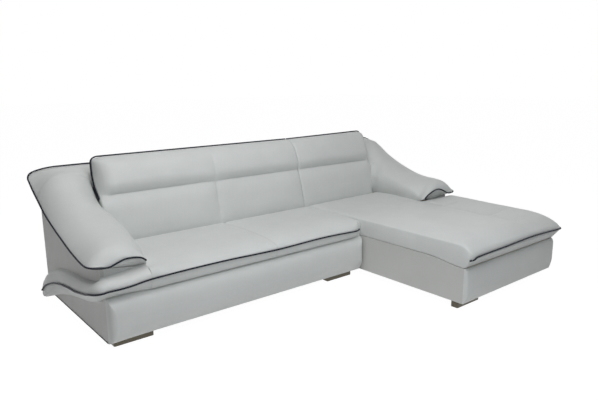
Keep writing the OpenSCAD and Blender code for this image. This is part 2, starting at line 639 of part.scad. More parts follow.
// Front left corners of the foot bars of a section: two at the front, two at the rear
rear_foot_y = body_d - foot_setback - foot_d;
sofa_feet = [for (y = [foot_setback, rear_foot_y], x = [foot_inset, xs - seam_inset - foot_l]) [x, y]];
chaise_feet = [[xc + chaise_inset, chaise_front + foot_setback],
    [total_w - foot_inset - foot_l, chaise_front + foot_setback + outer_foot_back],
    [xc + chaise_inset, rear_foot_y], [total_w - foot_inset - foot_l, rear_foot_y]];

// Positions of the two bolts of a foot bar whose corner is at p
function bolts(p) = [for (s = [-1, 1]) [p[0] + (foot_l + s * bolt_spacing) / 2, p[1] + foot_d / 2, 0]];

// Rail from x0 to x1 on a batten that carries feet
module foot_rail(x0, x1, rail_y, batten_y, batten_d, feet) {
    color(timber) placed() difference() {
        union() {
            translate([x0, rail_y, rail_bottom]) cube([x1 - x0, rail_t, rail_top - rail_bottom]);
            translate([x0, batten_y, rail_bottom]) cube([x1 - x0, batten_d, batten_t]);
        }
        for (p = feet, q = bolts(p)) translate([q[0], q[1], rail_bottom - 1])
            cylinder(r = bolt_r + bolt_clear, h = batten_t + 2, $fn = 32);
    }
}

rear_batten_y = body_d - batten_w;
rear_batten_d = batten_w - panel_t;

module sofa_front_rail() {
    foot_rail(panel_t, xs - panel_t, 0, 0, batten_w, [sofa_feet[0], sofa_feet[1]]);
}

module sofa_rear_rail() {
    foot_rail(panel_t, xs - panel_t, rear_rail_y, rear_batten_y, rear_batten_d,
        [sofa_feet[2], sofa_feet[3]]);
}

module chaise_front_rail() {
    foot_rail(xc + panel_t, total_w - panel_t, chaise_front, chaise_front, batten_w + outer_foot_back,
        [chaise_feet[0], chaise_feet[1]]);
}

module chaise_rear_rail() {
    foot_rail(xc + panel_t, total_w - panel_t, rear_rail_y, rear_batten_y, rear_batten_d,
        [chaise_feet[2], chaise_feet[3]]);
}

// Rail along Y from y0 to y1 at x, standing on the battens' height
module side_rail(x, y0, y1, top = rail_top) {
    translate([x, y0, rail_bottom + batten_t]) cube([rail_t, y1 - y0, top - rail_bottom - batten_t]);
}

module sofa_end_rails() {
    color(timber) placed() {
        side_rail(panel_t, rail_t, rear_rail_y);
        side_rail(xs - panel_t - rail_t, rail_t, rear_rail_y);
    }
}

joist_top = rail_top - spring_rail_h;

module sofa_cross_rails() {
    color(timber) placed() {
        side_rail(arm_w - rail_t, rail_t, rear_rail_y);
        for (x = [main_w / 3 + 30, main_w * 2 / 3]) side_rail(x, rail_t, rear_rail_y, joist_top);
    }
}

// Board across the joists that carries the rear ends of the seat webbing
module spring_rail(x0, x1) {
    color(timber) placed() translate([x0, spring_rail_y, joist_top])
        cube([x1 - x0, rail_t, spring_rail_h]);
}

module sofa_spring_rail() {
    spring_rail(arm_w, xs - panel_t - rail_t);
}

module chaise_spring_rail() {
    spring_rail(xc + panel_t + rail_t, total_w - arm_w);
}

module chaise_side_rails() {
    color(timber) placed() {
        side_rail(xc + panel_t, chaise_front + rail_t, rear_rail_y);
        side_rail(total_w - panel_t - rail_t, chaise_front + rail_t, rear_rail_y);
    }
}

module chaise_cross_rails() {
    x0 = xc + panel_t + rail_t;
    x1 = total_w - panel_t - rail_t;
    y2 = arm_setback - 15;
    color(timber) placed() {
        for (y = [chaise_front + chaise_out / 3, chaise_front + chaise_out * 2 / 3, y2])
            translate([x0, y, rail_bottom + batten_t])
                cube([x1 - x0, rail_t, joist_top - rail_bottom - batten_t]);
        side_rail(total_w - arm_w, y2 + rail_t + soft_gap, rear_rail_y);
        side_rail((x0 + total_w - arm_w) / 2, y2 + rail_t + soft_gap, rear_rail_y, joist_top);
    }
}

// Straps from x0 to x1 and from y0 to y1: the cross straps lie under the long ones
module webbing(x0, x1, y0, y1, across, count) {
    for (i = [0:across - 1])
        translate([x0, blend(y0 + 64, y1 - 50 - strap_w, i / (across - 1)), rail_top])
            cube([x1 - x0, strap_w, strap_t]);
    for (i = [0:count - 1])
        translate([blend(x0 + 40, x1 - 40 - strap_w, i / (count - 1)), y0, rail_top + strap_t])
            cube([strap_w, y1 - y0, strap_t]);
}

module sofa_seat_webbing() {
    color(web) placed()
        webbing(arm_w - web_rest, xs - panel_t, rail_t - web_rest, spring_rail_y + rail_t, 3, 12);
}

module chaise_seat_webbing() {
    color(web) placed()
        webbing(xc + panel_t, total_w - arm_w + web_rest, deck_front, spring_rail_y + rail_t, 6, 6);
}

// Foam decks over the webbing
deck_rear = post_y - 8;
module sofa_seat_deck() {
    color(foam) placed() translate([0, 0, deck_top - deck_t]) linear_extrude(deck_t) polygon([
        [panel_t, 1], [xs - panel_t, 1], [xs - panel_t, deck_rear], [arm_w, deck_rear],
        [arm_w, arm_setback], [panel_t, arm_setback]]);
}

module chaise_seat_deck() {
    color(foam) placed() translate([0, 0, deck_top - deck_t]) linear_extrude(deck_t) polygon([
        [xc + panel_t, chaise_front + rail_t + 1], [total_w - panel_t, chaise_front + rail_t + 1],
        [total_w - panel_t, arm_setback], [total_w - arm_w, arm_setback],
        [total_w - arm_w, deck_rear], [xc + panel_t, deck_rear]]);
}

// Connectors: a socket stands in a window of the seam panel, a tongue in a pocket of the other one
link_base = link_z - link_hold;
link_side = 3;
socket_z = link_base + 2;
socket_h = link_hold + 6;
socket_slot = plate_t + 4;
cheek = 8;
tongue_in = 0.3;
tongue_plate_z = link_base + 6;
tongue_plate_h = link_hold * 2;

// Opening at each connector, from x over a depth, h high
module link_window(x, deep, h) {
    for (y = link_y) translate([x, y - link_w / 2 - link_side, link_base])
        cube([deep, link_w + 2 * link_side, h]);
}

module sofa_seam_panel() {
    color(shade) placed() difference() {
        translate([xs - panel_t, 0, rail_bottom])
            cube([panel_t, rear_rail_y + rail_t, base_top - rail_bottom]);
        link_window(xs - panel_t - 1, panel_t + 2, socket_h + lift + plate_t + 6);
    }
}

module chaise_seam_panel() {
    color(leather) placed() difference() {
        translate([xc, 0, 0]) rotate([90, 0, 90]) linear_extrude(panel_t) polygon(concat(
            [[chaise_front, rail_bottom], [rear_rail_y + rail_t, rail_bottom],
             [rear_rail_y + rail_t, base_top]], top_line(chaise_front)));
        link_window(xc - 1, plate_t + tongue_in + 1, tongue_plate_h + 10);
    }
}

// Socket bracket: a plate on the end rail, with cheeks and a lip that leave a slot open at the top
module sofa_connector_sockets() {
    color(steel) placed() for (y = link_y) translate([xs - panel_t, y - link_w / 2, socket_z]) {
        cube([plate_t, link_w, link_hold * 2 - 4]);
        for (s = [0, link_w - cheek])
            translate([plate_t - 0.5, s, 0]) cube([socket_slot + 1, cheek, socket_h]);
        translate([plate_t + socket_slot, 0, 0]) cube([plate_t, link_w, socket_h]);
    }
}

// Tongue bracket: a plate on the chaise with an arm over the socket's lip and a tongue in its slot
module chaise_connector_tongues() {
    x = xs - panel_t + plate_t + 2;
    z = socket_z + socket_h + soft_gap;
    w = link_w - 2 * cheek - 6;
    color(steel) placed() for (y = link_y) {
        translate([xc + tongue_in, y - link_w / 2, tongue_plate_z])
            cube([plate_t, link_w, tongue_plate_h]);
        translate([x, y - w / 2, z]) cube([xc + tongue_in + 1 - x, w, plate_t]);
        translate([x, y - w / 2, z + plate_t - link_hold]) cube([plate_t, w, link_hold]);
    }
}

// Rear panel with the ledge behind the back cushions, from x0 to x1, and its lower part behind an arm
ledge_y = back_top_y + 22;
rear_low = min(arm_under_out(body_d - panel_t), arm_under_in(body_d - panel_t)) - soft_gap;
module rear_panel(x0, x1, arm_0, arm_1) {
    color(shade) placed() {
        translate([x0, body_d - panel_t, rail_bottom]) cube([x1 - x0, panel_t, ledge_h - rail_bottom]);
        translate([x0, ledge_y, ledge_h - ledge_t]) cube([x1 - x0, body_d - ledge_y, ledge_t]);
        translate([arm_0, body_d - panel_t, rail_bottom])
            cube([arm_1 - arm_0, panel_t, rear_low - rail_bottom]);
    }
}

module sofa_rear_panel() {
    rear_panel(rear_edge, xs, panel_t, rear_edge);
}

module chaise_rear_panel() {
    rear_panel(xc, total_w - rear_edge, total_w - rear_edge, total_w - panel_t);
}

// Back post: an upright board that leans back at its front edge
module back_post(x) {
    translate([x, 0, 0]) rotate([90, 0, 90]) linear_extrude(rail_t) polygon([[post_y, post_foot],
        [body_d - panel_t, post_foot], [body_d - panel_t, post_top], [post_y + post_lean, post_top]]);
}

sofa_posts = [rear_edge + 3, seat_seam - rail_t / 2, xs - panel_t - rail_t];
chaise_posts = [xc + panel_t, (xc + inner_x) / 2, total_w - rear_edge - 3 - rail_t];

module sofa_back_posts() {
    color(timber) placed() for (x = sofa_posts) back_post(x);
}

module chaise_back_posts() {
    color(timber) placed() for (x = chaise_posts) back_post(x);
}

// Rails between neighbouring posts, low and high
module back_rails(posts) {
    for (i = [0, 1], z = [post_foot + 20, post_top - 90])
        translate([posts[i] + rail_t, body_d - panel_t - 60, z])
            cube([posts[i + 1] - posts[i] - rail_t, rail_t, 70]);
}

module sofa_back_rails() {
    color(timber) placed() back_rails(sofa_posts);
}

module chaise_back_rails() {
    color(timber) placed() back_rails(chaise_posts);
}

// Straps across the leaning front edges of the posts
back_straps = 5;
strap_pitch = (post_top - post_foot - strap_w - 80) / (back_straps - 1);
module back_webbing(x0, x1) {
    for (i = [0:back_straps - 1]) translate([x0, post_y, post_foot]) rotate([-strap_lean, 0, 0])
        translate([0, -strap_t, 40 + i * strap_pitch]) cube([x1 - x0, strap_t, strap_w]);
}

module sofa_back_webbing() {
    color(web) placed() back_webbing(sofa_posts[0], xs - panel_t);
}

module chaise_back_webbing() {
    color(web) placed() back_webbing(chaise_posts[0], chaise_posts[2] + rail_t);
}

// Front line of a back cushion at height z, and its rear line
function back_face(z) = curve([[pad_bottom, 3], [seat_h + 8, 5], [crease_h - 195, 16],
    [crease_h - 126, 30], [crease_h - 55, 44], [crease_h, 62], [crease_h + 30, 50], [back_h - 134, 60],
    [back_h - 87, 78], [back_h - 42, 104], [back_h - 23, 122], [back_h - 10, 146],
    [back_h, 175]], z) + seat_d;
function back_rear(z) = blend(post_y, post_y + post_lean, (z - post_foot) / (post_top - post_foot))
    - strap_t - 2;

// Top rear edge of a back cushion, which its piping follows
edge_y = back_top_y - 8;
edge_z = back_h - cord_d / 2 - 3;

// Height z above the sewn line, lifted by rise at the top
function lifted(z, rise) = z + rise * max(0, (z - crease_h) / (back_h - crease_h));

// Ring of a back cushion at x: it swells between its ends, dips at the sewn line and thins at an end
rear_zs = [pad_bottom + 0.5, seat_h + 18, crease_h - 115, crease_h - 35, crease_h + 45, crease_h + 105];
face_zs = [edge_z - 8, back_h - 32, back_h - 72, back_h - 122, crease_h + 45, crease_h + 16, crease_h,
    crease_h - 16, crease_h - 55, crease_h - 125, crease_h - 195, seat_h + 18, pad_bottom + 0.5];

// Lean of the seam between the two back cushions at height z
function seam_lean(z) = -back_slant * (z - pad_bottom) / (back_h - pad_bottom);

// Line at height z in which the outer end of a back cushion closes, and the drop of its top there
function end_line(z) = curve([[pad_bottom, 600], [crease_h - 55, 624], [crease_h - 30, 648],
    [crease_h, 678], [crease_h + 35, 712], [crease_h + 85, 738], [back_h - 88, 748],
    [back_h - 32, 752], [back_h, 752]], z);
function corner_drop(z, close) = 20 * close * max(0, min(1, (z - back_h + 72) / 60));
function back_ring(x, swell, close, tight, rise, lean) =
    [for (q = concat(
        [for (z = rear_zs) [blend(back_rear(z) - 8 * tight, end_line(z) + 4, close), z]],
        [[back_top_y + 4, back_h - 57], [back_top_y + 1, edge_z - 18], [edge_y, edge_z]],
        [for (z = face_zs) let (full = (z > crease_h + 45 ? 0.6 : 1) * (1 - dip(z - crease_h, 20))
                * max(0, min(1, (z - seat_h - 18) / 80)))
            [blend(back_face(z) - swell * full + 8 * tight, end_line(z) - 14, close), z]]))
        [x + lean * seam_lean(q[1]), q[0], lifted(q[1], rise) - corner_drop(q[1], close)]];

// Swell at x between the ends a and b of one panel
function back_fill(x, a, b) = let (u = 2 * (x - a) / (b - a) - 1) back_swell * (1 - pow(u, 4));
function steps(a, b) =
    [for (t = [0, 0.006, 0.03, 0.08, 0.25, 0.5, 0.75, 0.92, 0.97, 0.994, 1]) blend(a, b, t)];

// Back cushion from its seam end at x0 to its outer end at x1, sewn down at joint where there is one
slant_reach = 300;
end_turn = 75;
module back_cushion(x0, x1, joint, rise) {
    left = min(x0, x1);
    right = max(x0, x1);
    panels = joint == undef ? [[left, right]] : [[left, joint], [joint, right]];
    color(leather) placed() loft([for (p = panels) for (x = steps(p[0], p[1]))
        if (x == left || x > p[0])
            let (close = 1 - rounding(abs(x - x1) / end_turn), tight = 1 - rounding(abs(x - x0) / 25),
                 sewn = joint == undef ? 0 : sewn_depth * dip(x - joint, 14))
            back_ring(x, back_fill(x, p[0], p[1]) - sewn, close, tight,
                rise * abs(x - x0) / (right - left), max(0, 1 - abs(x - x0) / slant_reach))]);
}

module sofa_back_cushion() {
    back_cushion(xs, back_inset, seat_seam, 0);
}

module chaise_back_cushion() {
    back_cushion(xc, total_w - back_inset, undef, back_rise);
}

// Piping along the top of a back cushion from the seam end x0, and down its outer end x1
function back_path(x0, x1, out, rise) = let (d = cord_out * 0.71) [for (p = concat(
    [for (t = [0, 0.25, 0.5, 0.75, 1]) let (x = blend(x0, x1 - out * 60, t))
        [x - back_slant * max(0, 1 - abs(x - x0) / slant_reach), edge_y + d, edge_z + d]],
    [[x1 - out * 34, edge_y + d, edge_z + d], [x1 - out * 16, edge_y + d, edge_z + d - 4],
     [x1 - out * 1, edge_y + d, edge_z - 11]],
    [for (z = [back_h - 32, back_h - 60, back_h - 88, crease_h + 85, crease_h + 58, crease_h + 35,
            crease_h + 16, crease_h, crease_h - 15, crease_h - 30])
        [x1 + out * cord_out, end_line(z) - 5, z]]))
    [p[0], p[1], lifted(p[2], rise * (p[0] - x0) / (x1 - x0))]];

module sofa_back_piping() {
    color(cord_colour) placed() cord(back_path(xs - 3, back_inset, -1, 0));
}

module chaise_back_piping() {
    color(cord_colour) placed() cord(back_path(xc + 3, total_w - back_inset, 1, back_rise));
}

// Outline of a foot bar in plan, with round corners
module foot_plan() {
    translate([foot_round, 0]) square([foot_l - 2 * foot_round, foot_d]);
    translate([0, foot_round]) square([foot_l, foot_d - 2 * foot_round]);
    for (i = [foot_round, foot_l - foot_round], j = [foot_round, foot_d - foot_round])
        translate([i, j]) circle(r = foot_round, $fn = 48);
}

// Foot bar with counterbored bolt holes, its front left corner at p
bolt_head_r = bolt_r * 1.7;
bolt_head_h = 6;
module foot_bar(p) {
    color(bronze) placed() difference() {
        translate([p[0], p[1], 0]) linear_extrude(foot_h) foot_plan();
        for (q = bolts(p)) translate([q[0], q[1], -1]) {
            cylinder(r = bolt_r + bolt_clear, h = foot_h + 2, $fn = 32);
            cylinder(r = bolt_r * 2, h = foot_h / 2 + 1, $fn = 32);
        }
    }
}

// Bolts of the feet: head in the counterbore, shank up into the batten
module foot_bolts(feet) {
    color(steel) placed() for (p = feet, q = bolts(p)) translate([q[0], q[1], foot_h / 2]) {
        translate([0, 0, -bolt_head_h]) cylinder(r = bolt_head_r, h = bolt_head_h, $fn = 32);
        cylinder(r = bolt_r, h = bolt_l, $fn = 32);
    }
}

// Dust cover stapled under the battens, with holes for the bolts
cover_edge = 2;
module dust_cover(x0, x1, y0, feet) {
    color(web) placed() difference() {
        translate([x0 + cover_edge, y0 + cover_edge, foot_h])
            cube([x1 - x0 - 2 * cover_edge, body_d - y0 - 2 * cover_edge, cover_t]);
        for (p = feet, q = bolts(p)) translate([q[0], q[1], foot_h - 1])
            cylinder(r = bolt_r + 2, h = cover_t + 2, $fn = 32);
    }
}

module sofa_dust_cover() {
    dust_cover(0, xs, 0, sofa_feet);
}

module chaise_dust_cover() {
    dust_cover(xc, total_w, chaise_front, chaise_feet);
}

sofa_front_rail();
sofa_rear_rail();
sofa_end_rails();
sofa_cross_rails();
sofa_spring_rail();
sofa_seat_webbing();
sofa_seat_deck();
sofa_seat_pad();
left_wing_pad();
sofa_seat_piping();
sofa_base_front();
placed() side_panel(0);  // left_side_panel
sofa_rear_panel();
sofa_seam_panel();
sofa_back_posts();
sofa_back_rails();
sofa_back_webbing();
sofa_back_cushion();
sofa_back_piping();
placed() arm_frame();  // left_arm_frame
placed() arm_facing();  // left_arm_facing
placed() arm_pad(0);  // left_arm_pad
placed() arm_piping(0);  // left_arm_piping
foot_bar(sofa_feet[0]);  // sofa_foot_front_left
foot_bar(sofa_feet[1]);  // sofa_foot_front_right
foot_bar(sofa_feet[2]);  // sofa_foot_rear_left
foot_bar(sofa_feet[3]);  // sofa_foot_rear_right
foot_bolts(sofa_feet);  // sofa_foot_bolts
sofa_connector_sockets();
sofa_dust_cover();
chaise_front_rail();
chaise_rear_rail();
chaise_side_rails();
chaise_cross_rails();
chaise_spring_rail();
chaise_seat_webbing();
chaise_seat_deck();
chaise_seat_pad();
right_wing_pad();
chaise_seat_piping();
chaise_base_front();
on_right() side_panel(chaise_front);  // right_side_panel
chaise_rear_panel();
chaise_seam_panel();
chaise_back_posts();
chaise_back_rails();
chaise_back_webbing();
chaise_back_cushion();
chaise_back_piping();
on_right() arm_frame();  // right_arm_frame
on_right() arm_facing();  // right_arm_facing
on_right() arm_pad(arm_nose);  // right_arm_pad
on_right() arm_piping(arm_nose);  // right_arm_piping
foot_bar(chaise_feet[0]);  // chaise_foot_front_left
foot_bar(chaise_feet[1]);  // chaise_foot_front_right
foot_bar(chaise_feet[2]);  // chaise_foot_rear_left
foot_bar(chaise_feet[3]);  // chaise_foot_rear_right
foot_bolts(chaise_feet);  // chaise_foot_bolts
chaise_connector_tongues();
chaise_dust_cover();
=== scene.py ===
"""Leather corner sofa: the dressed model, in metres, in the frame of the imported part.
Shapes are worked out in millimetres from the front left corner of the two-seat base."""

import json
import math

import bmesh
import bpy
import numpy as np
from mathutils import Matrix, Vector
from mathutils.kdtree import KDTree

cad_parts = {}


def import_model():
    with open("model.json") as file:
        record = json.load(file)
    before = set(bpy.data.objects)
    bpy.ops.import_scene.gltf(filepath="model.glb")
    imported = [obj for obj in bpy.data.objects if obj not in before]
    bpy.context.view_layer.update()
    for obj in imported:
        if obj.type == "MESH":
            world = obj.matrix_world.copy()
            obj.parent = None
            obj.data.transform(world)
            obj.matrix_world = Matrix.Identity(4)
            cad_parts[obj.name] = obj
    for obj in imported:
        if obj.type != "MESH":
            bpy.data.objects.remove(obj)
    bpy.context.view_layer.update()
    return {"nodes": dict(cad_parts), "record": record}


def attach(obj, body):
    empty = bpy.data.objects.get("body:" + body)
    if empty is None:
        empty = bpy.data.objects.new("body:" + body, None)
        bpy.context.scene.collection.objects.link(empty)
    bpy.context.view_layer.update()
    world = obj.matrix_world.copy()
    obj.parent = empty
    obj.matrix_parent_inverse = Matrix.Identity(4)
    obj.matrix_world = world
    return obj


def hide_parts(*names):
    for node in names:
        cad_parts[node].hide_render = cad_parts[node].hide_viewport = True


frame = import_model()
nodes = frame["nodes"]

# ---------------------------------------------------------------- sizes, in millimetres
# the two sections, the seam between them, and the sewn lines, which fade out near the right arm
MAIN_W, CHAISE_W, BODY_D = 1720.0, 980.0, 945.0
TOTAL_W = MAIN_W + CHAISE_W
XS, XC = MAIN_W - 2, MAIN_W + 2
CHAISE_FRONT = -815.0
SEAT_SEAM, CHAISE_LINE = 1000.0, TOTAL_W - 330
CROSS_LINES = (CHAISE_FRONT + 275, CHAISE_FRONT + 625)
SEWN_W, NEAR_ARM = 14.0, -60.0
# the base, whose top dips at the front of the chaise
BASE_TOP, PAD_BOTTOM, RAIL_BOTTOM, PANEL = 283.0, 284.0, 51.0, 20.0
CHAISE_DIP, DIP_LENGTH = 24.0, 265.0
# seat pads and their lips
SEAT_H, CROWN, RISE, SEAT_D = 382.0, 18.0, 36.0, 552.0
LIP_H, LIP_OVER, LIP_TURN, LIP_END = 345.0, 50.0, 90.0, 24.0
CHAISE_LIP, CHAISE_SIDE_LIP, CHAISE_PRESS, CHAISE_NOOK = 48.0, 43.0, 26.0, 28.0
# arms, and the wings below them
ARM_W, ARM_OVER, ARM_LIP_H, ARM_SETBACK = 222.0, 63.0, 447.0, 45.0
ARM_SKIRT, ARM_DEPTH, ARM_HANG, ARM_NOSE, ARM_IN = 30.0, 42.0, 12.0, 98.0, 235.0
ARM_ARCH, ARM_TUCK, ARM_REAR_R = 24.0, 50.0, 52.0
WING_OVER, WING_DROP, WING_RISE, WING_FALL, WING_REAR = 50.0, 258.0, 80.0, 74.0, 938
# backs, and the ledge behind them
BACK_H, LEDGE_H, LEDGE_T, CREASE_H, BACK_Y = 872.0, 800.0, 15.0, 655.0, 751.0
BACK_INSET, CHAISE_INSET = 247.0, 239.0
BACK_SWELL, BACK_RISE, BACK_SLANT, SLANT_REACH = 12.0, 12.0, 31.0, 300.0
# piping, the thin dark cord along the bottom edge of each side, and how far air pressure may move a
# seat, and an arm or back
CORD_R, CORD_GAP, DARK_EDGE_R = 4.5, 0.3, 2.2
CORD_OUT = CORD_R + CORD_GAP
SEAT_SWELL, SOFT_SWELL = 9, 8
# edges of the pads beside the arms, and the way from the corner to the frame's origin
INNER_X = TOTAL_W - ARM_W - 3
PAD_LEFT, PAD_REAR = ARM_W + 3, SEAT_D - 3
SHIFT = np.array([TOTAL_W / 2, 36.35, 0.0])


# ---------------------------------------------------------------- small maths
def blend(a, b, t):
    return a + (b - a) * t


def clamp(v, a=0.0, b=1.0):
    return max(a, min(b, v))


def rounding(t):
    """Quarter of a circle, from 0 up to 1."""
    u = clamp(t)
    return math.sqrt(1 - (1 - u) ** 2)


def dip(d, w):
    """Bell of width w, 1 at its middle."""
    return math.exp(-(d * d) / (w * w))


def curve(p, x):
    """Height at x of the smooth curve through the points p."""
    i = 0
    while i < len(p) - 2 and x >= p[i + 1][0]:
        i += 1

    def slope(k):
        a, b = max(0, k - 1), min(len(p) - 1, k + 1)
        return (p[b][1] - p[a][1]) / (p[b][0] - p[a][0])

    h = p[i + 1][0] - p[i][0]
    t = clamp((x - p[i][0]) / h)
    a = t * t * (3 - 2 * t)
    return (p[i][1] * (1 - a) + p[i + 1][1] * a
            + h * t * (1 - t) * ((1 - t) * slope(i) - t * slope(i + 1)))


def spread(a, b, step, fine=(), width=26.0, fine_step=2.5):
    """Positions from a to b, closer together around the values in fine."""
    out, x = [a], a
    while x < b:
        near = min([abs(x - f) for f in fine] + [1e9])
        x += fine_step if near < width * 0.5 else (fine_step * 2 if near < width else step)
        out.append(min(x, b))
    if len(out) > 2 and out[-1] - out[-2] < fine_step * 0.4:
        out.pop(-2)
    return out


# ---------------------------------------------------------------- forms shared with the solids
def lip_z(x):
    """Height of the piped edge along the front of the two-seat pad."""
    return curve([[-70, LIP_H - 9], [90, LIP_H - 11], [ARM_W, LIP_H + 2],
                  [(ARM_W + SEAT_SEAM) / 2, LIP_H + 6], [SEAT_SEAM, LIP_H - 4],
                  [(SEAT_SEAM + MAIN_W) / 2, LIP_H + 1], [MAIN_W, LIP_H - 13]], x)


def chaise_lip_z(x):
    """Height of the piped edge along the front of the chaise pad."""
    return curve([[MAIN_W, LIP_H - 24], [MAIN_W + 45, LIP_H - 13],
                  [MAIN_W + CHAISE_W / 3, LIP_H - 8], [MAIN_W + CHAISE_W * 2 / 3, LIP_H - 2],
                  [TOTAL_W, LIP_H - 15], [TOTAL_W + 60, LIP_H - 16]], x)


def wing_z(y):
    """Height of a wing's piped edge along the side."""
    return LIP_H - 9 - WING_DROP * curve([[0, 0.04], [0.075, 0.14], [0.26, 0.3], [0.41, 0.36],
        [0.58, 0.46], [0.75, 0.63], [0.9, 0.86], [0.94, 0.97], [0.99, 1.06]], y / BODY_D)


def wing_up(y):
    """How far the wing reaches above its edge."""
    return WING_RISE * curve([[0, 0.55], [0.15, 0.66], [0.5, 0.77], [0.85, 1.02], [1, 0.9]],
                             y / BODY_D)


def wing_down(y):
    """How far the wing reaches below its edge."""
    return WING_FALL * curve([[0, 0.7], [0.25, 0.81], [0.5, 1], [0.78, 1.08], [0.9, 0.9],
                              [0.95, 0.66], [1, 0.42]], y / BODY_D)


def arm_climb(share):
    """Height at a share of the climb from the arm's lip to the ledge."""
    return ARM_LIP_H + (LEDGE_H - ARM_LIP_H) * share


def arm_crest(y):
    return arm_climb(curve([[0, 0.16], [0.06, 0.225], [0.335, 0.35], [0.52, 0.52], [0.66, 0.7],
                            [0.81, 0.96], [0.88, 1], [1, 1]], y / BODY_D))


def arm_outer(y):
    return arm_climb(curve([[0, 0.005], [0.1, 0.01], [0.25, 0.08], [0.4, 0.19], [0.55, 0.31],
                            [0.67, 0.43], [0.775, 0.58], [0.87, 0.72], [0.93, 0.83], [1, 0.95]],
                           y / BODY_D))


def arm_inner(y):
    return arm_climb(curve([[0, -0.05], [0.08, -0.03], [0.12, 0.05], [0.21, 0.135], [0.47, 0.32],
                            [0.7, 0.5], [0.83, 0.85], [0.92, 0.99], [1, 1]], y / BODY_D))


def arm_lip(s, nose=0.0):
    """Height of an arm pad's front edge, arched where it has a nose."""
    low = ARM_LIP_H + curve([[0, 2], [0.08, -9], [0.2, -6], [0.31, 3], [0.5, 15], [0.72, 14],
                             [0.87, 7], [0.95, -3], [1, -14]], s)
    if not nose:
        return low
    return low + ARM_ARCH * curve([[0, 0], [0.16, 0.35], [0.38, 1], [0.6, 1.1], [0.85, 0.45],
                                   [1, 0.2]], s)


ARM_FRONT, ARM_CORNER, TUCK_Y, TUCK_L = -5.0, 62.0, BACK_Y + 12, 30.0


def arm_x_out(y):
    """Outer edge of an arm pad."""
    return (-ARM_OVER + ARM_CORNER * (1 - rounding((y - ARM_FRONT) / ARM_CORNER))
            + ARM_REAR_R * (1 - rounding((BODY_D - y) / ARM_REAR_R)))


def arm_x_in(y, nose=0.0):
    """Inner edge of an arm pad, tucked in behind the back cushion."""
    if y > TUCK_Y:
        return ARM_IN + ARM_TUCK * rounding((y - TUCK_Y) / TUCK_L)
    return curve([[ARM_FRONT, ARM_W - 6 + nose], [25, ARM_W + 8 + nose * 0.85],
                  [70, ARM_IN + 4 + nose * 0.5], [180, ARM_IN + 6 + nose * 0.3], [340, ARM_IN + 11],
                  [500, ARM_IN + 9], [545, ARM_IN], [TUCK_Y, ARM_IN]], y)


def arm_under_out(y):
    return arm_outer(y) - ARM_SKIRT


def arm_under_in(y):
    return max(arm_inner(y) - ARM_DEPTH, SEAT_H + 14)


def arm_top(y, s, nose=0.0):
    """Height of an arm pad, s from 0 at its outer edge to 1 at its inner."""
    crest, turn = arm_crest(y), rounding((y - ARM_FRONT) / ARM_CORNER)
    if nose:
        crest += 18 * dip(y - 40, 130)
        turn = (1 - (1 - clamp((y - ARM_FRONT) / ARM_CORNER)) ** 3) ** (1 / 3)
    if s < 0.5:
        top = crest - (crest - arm_outer(y)) * (1 - 2 * s) ** 2.4
    else:
        top = crest - (crest - arm_inner(y)) * (2 * s - 1) ** 2.2
    return blend(arm_lip(s, nose), top, turn)


def arm_z(x, y):
    xo, xi = arm_x_out(y), arm_x_in(y)
    return arm_top(y, max(0, (x - xo) / (xi - xo)))


def press_h(y):
    """Height of the chaise pad's top where the right arm sits on it."""
    return SEAT_H + CHAISE_PRESS * (1 - clamp((y - 40) / 400))


def arm_low(y, nose):
    """Height of an arm pad's inner lower edge, on the seat."""
    share = curve([[0, 0.05], [0.07, 0.4], [0.22, 0.8], [0.5, 1], [0.8, 0.75], [0.97, 0.05],
                   [1, 0.05]], y / SEAT_D)
    sit = 2 + (press_h(y) if nose else SEAT_H + CROWN * share)
    return blend(sit, arm_under_in(y) - 2, clamp((y - 640) / 100))


ARM_STEPS = [0, 0.035, 0.12, 0.24, 0.37, 0.5, 0.63, 0.76, 0.87, 0.95, 1]


def arm_ring(y, nose):
    """Outline of an arm pad at y."""
    xo, xi, low = arm_x_out(y), arm_x_in(y, nose), arm_low(y, nose)
    up = max(arm_under_in(y), low + 2)
    k = max(0.04, min(1, (y - ARM_FRONT) / (ARM_SETBACK - ARM_FRONT)))
    ring = [(blend(xo, xi, s), y, arm_top(y, s, nose)) for s in ARM_STEPS]
    for q in ((xi, low, 3), (xi - ARM_HANG, low, 3), (xi - ARM_HANG, up, 1.5),
              (min(ARM_W - 2, xi - ARM_HANG - 2), up, 1.5),
              (ARM_W - 26, arm_under_in(y), 1.5), (PANEL + 1, arm_under_out(y), 1.5),
              (1, arm_under_out(y), 1.5)):
        ring.append((q[0], y, blend(arm_lip((q[0] - xo) / (xi - xo), nose) - q[2], q[1], k)))
    return ring


def wing_ring(p, d, e, shelf, down, mid, up, full=0.0, flat=0.0, plump=0.0):
    """Outline of a wing that stands out by e from point p in direction d, its edge at mid."""
    return [(p[0] + d[0] * q[0], p[1] + d[1] * q[0], q[1]) for q in (
        (0.4, down),
        (shelf + 20 * flat, down),
        (blend(blend(blend(shelf, e, 0.6), e * 0.94, full), e - 10, flat),
         blend(down, mid, blend(0.42, 0.14, full))),
        (e, mid),
        (e * (0.93 + 0.03 * plump), blend(mid, up, blend(0.4, 0.36, flat) + 0.1 * plump)),
        (e * (0.66 + 0.1 * plump), blend(mid, up, blend(0.8, 0.68, flat) + 0.08 * plump)),
        (0.4, up))]


def wing_reach(y, extra=12.0):
    """How far a wing stands out from the side."""
    return max(8, (WING_OVER + extra * dip(y - ARM_SETBACK, 90)) * rounding((BODY_D - 4 - y) / 40))


FRONT_REACH = LIP_OVER + ARM_SETBACK


def corner_reach(a):
    """How far the left wing stands out at angle a round the front corner."""
    f = math.sin(math.radians(a)) / wing_reach(ARM_SETBACK)
    g = math.cos(math.radians(a)) / FRONT_REACH
    return (f ** 2.6 + g ** 2.6) ** (-1 / 2.6)


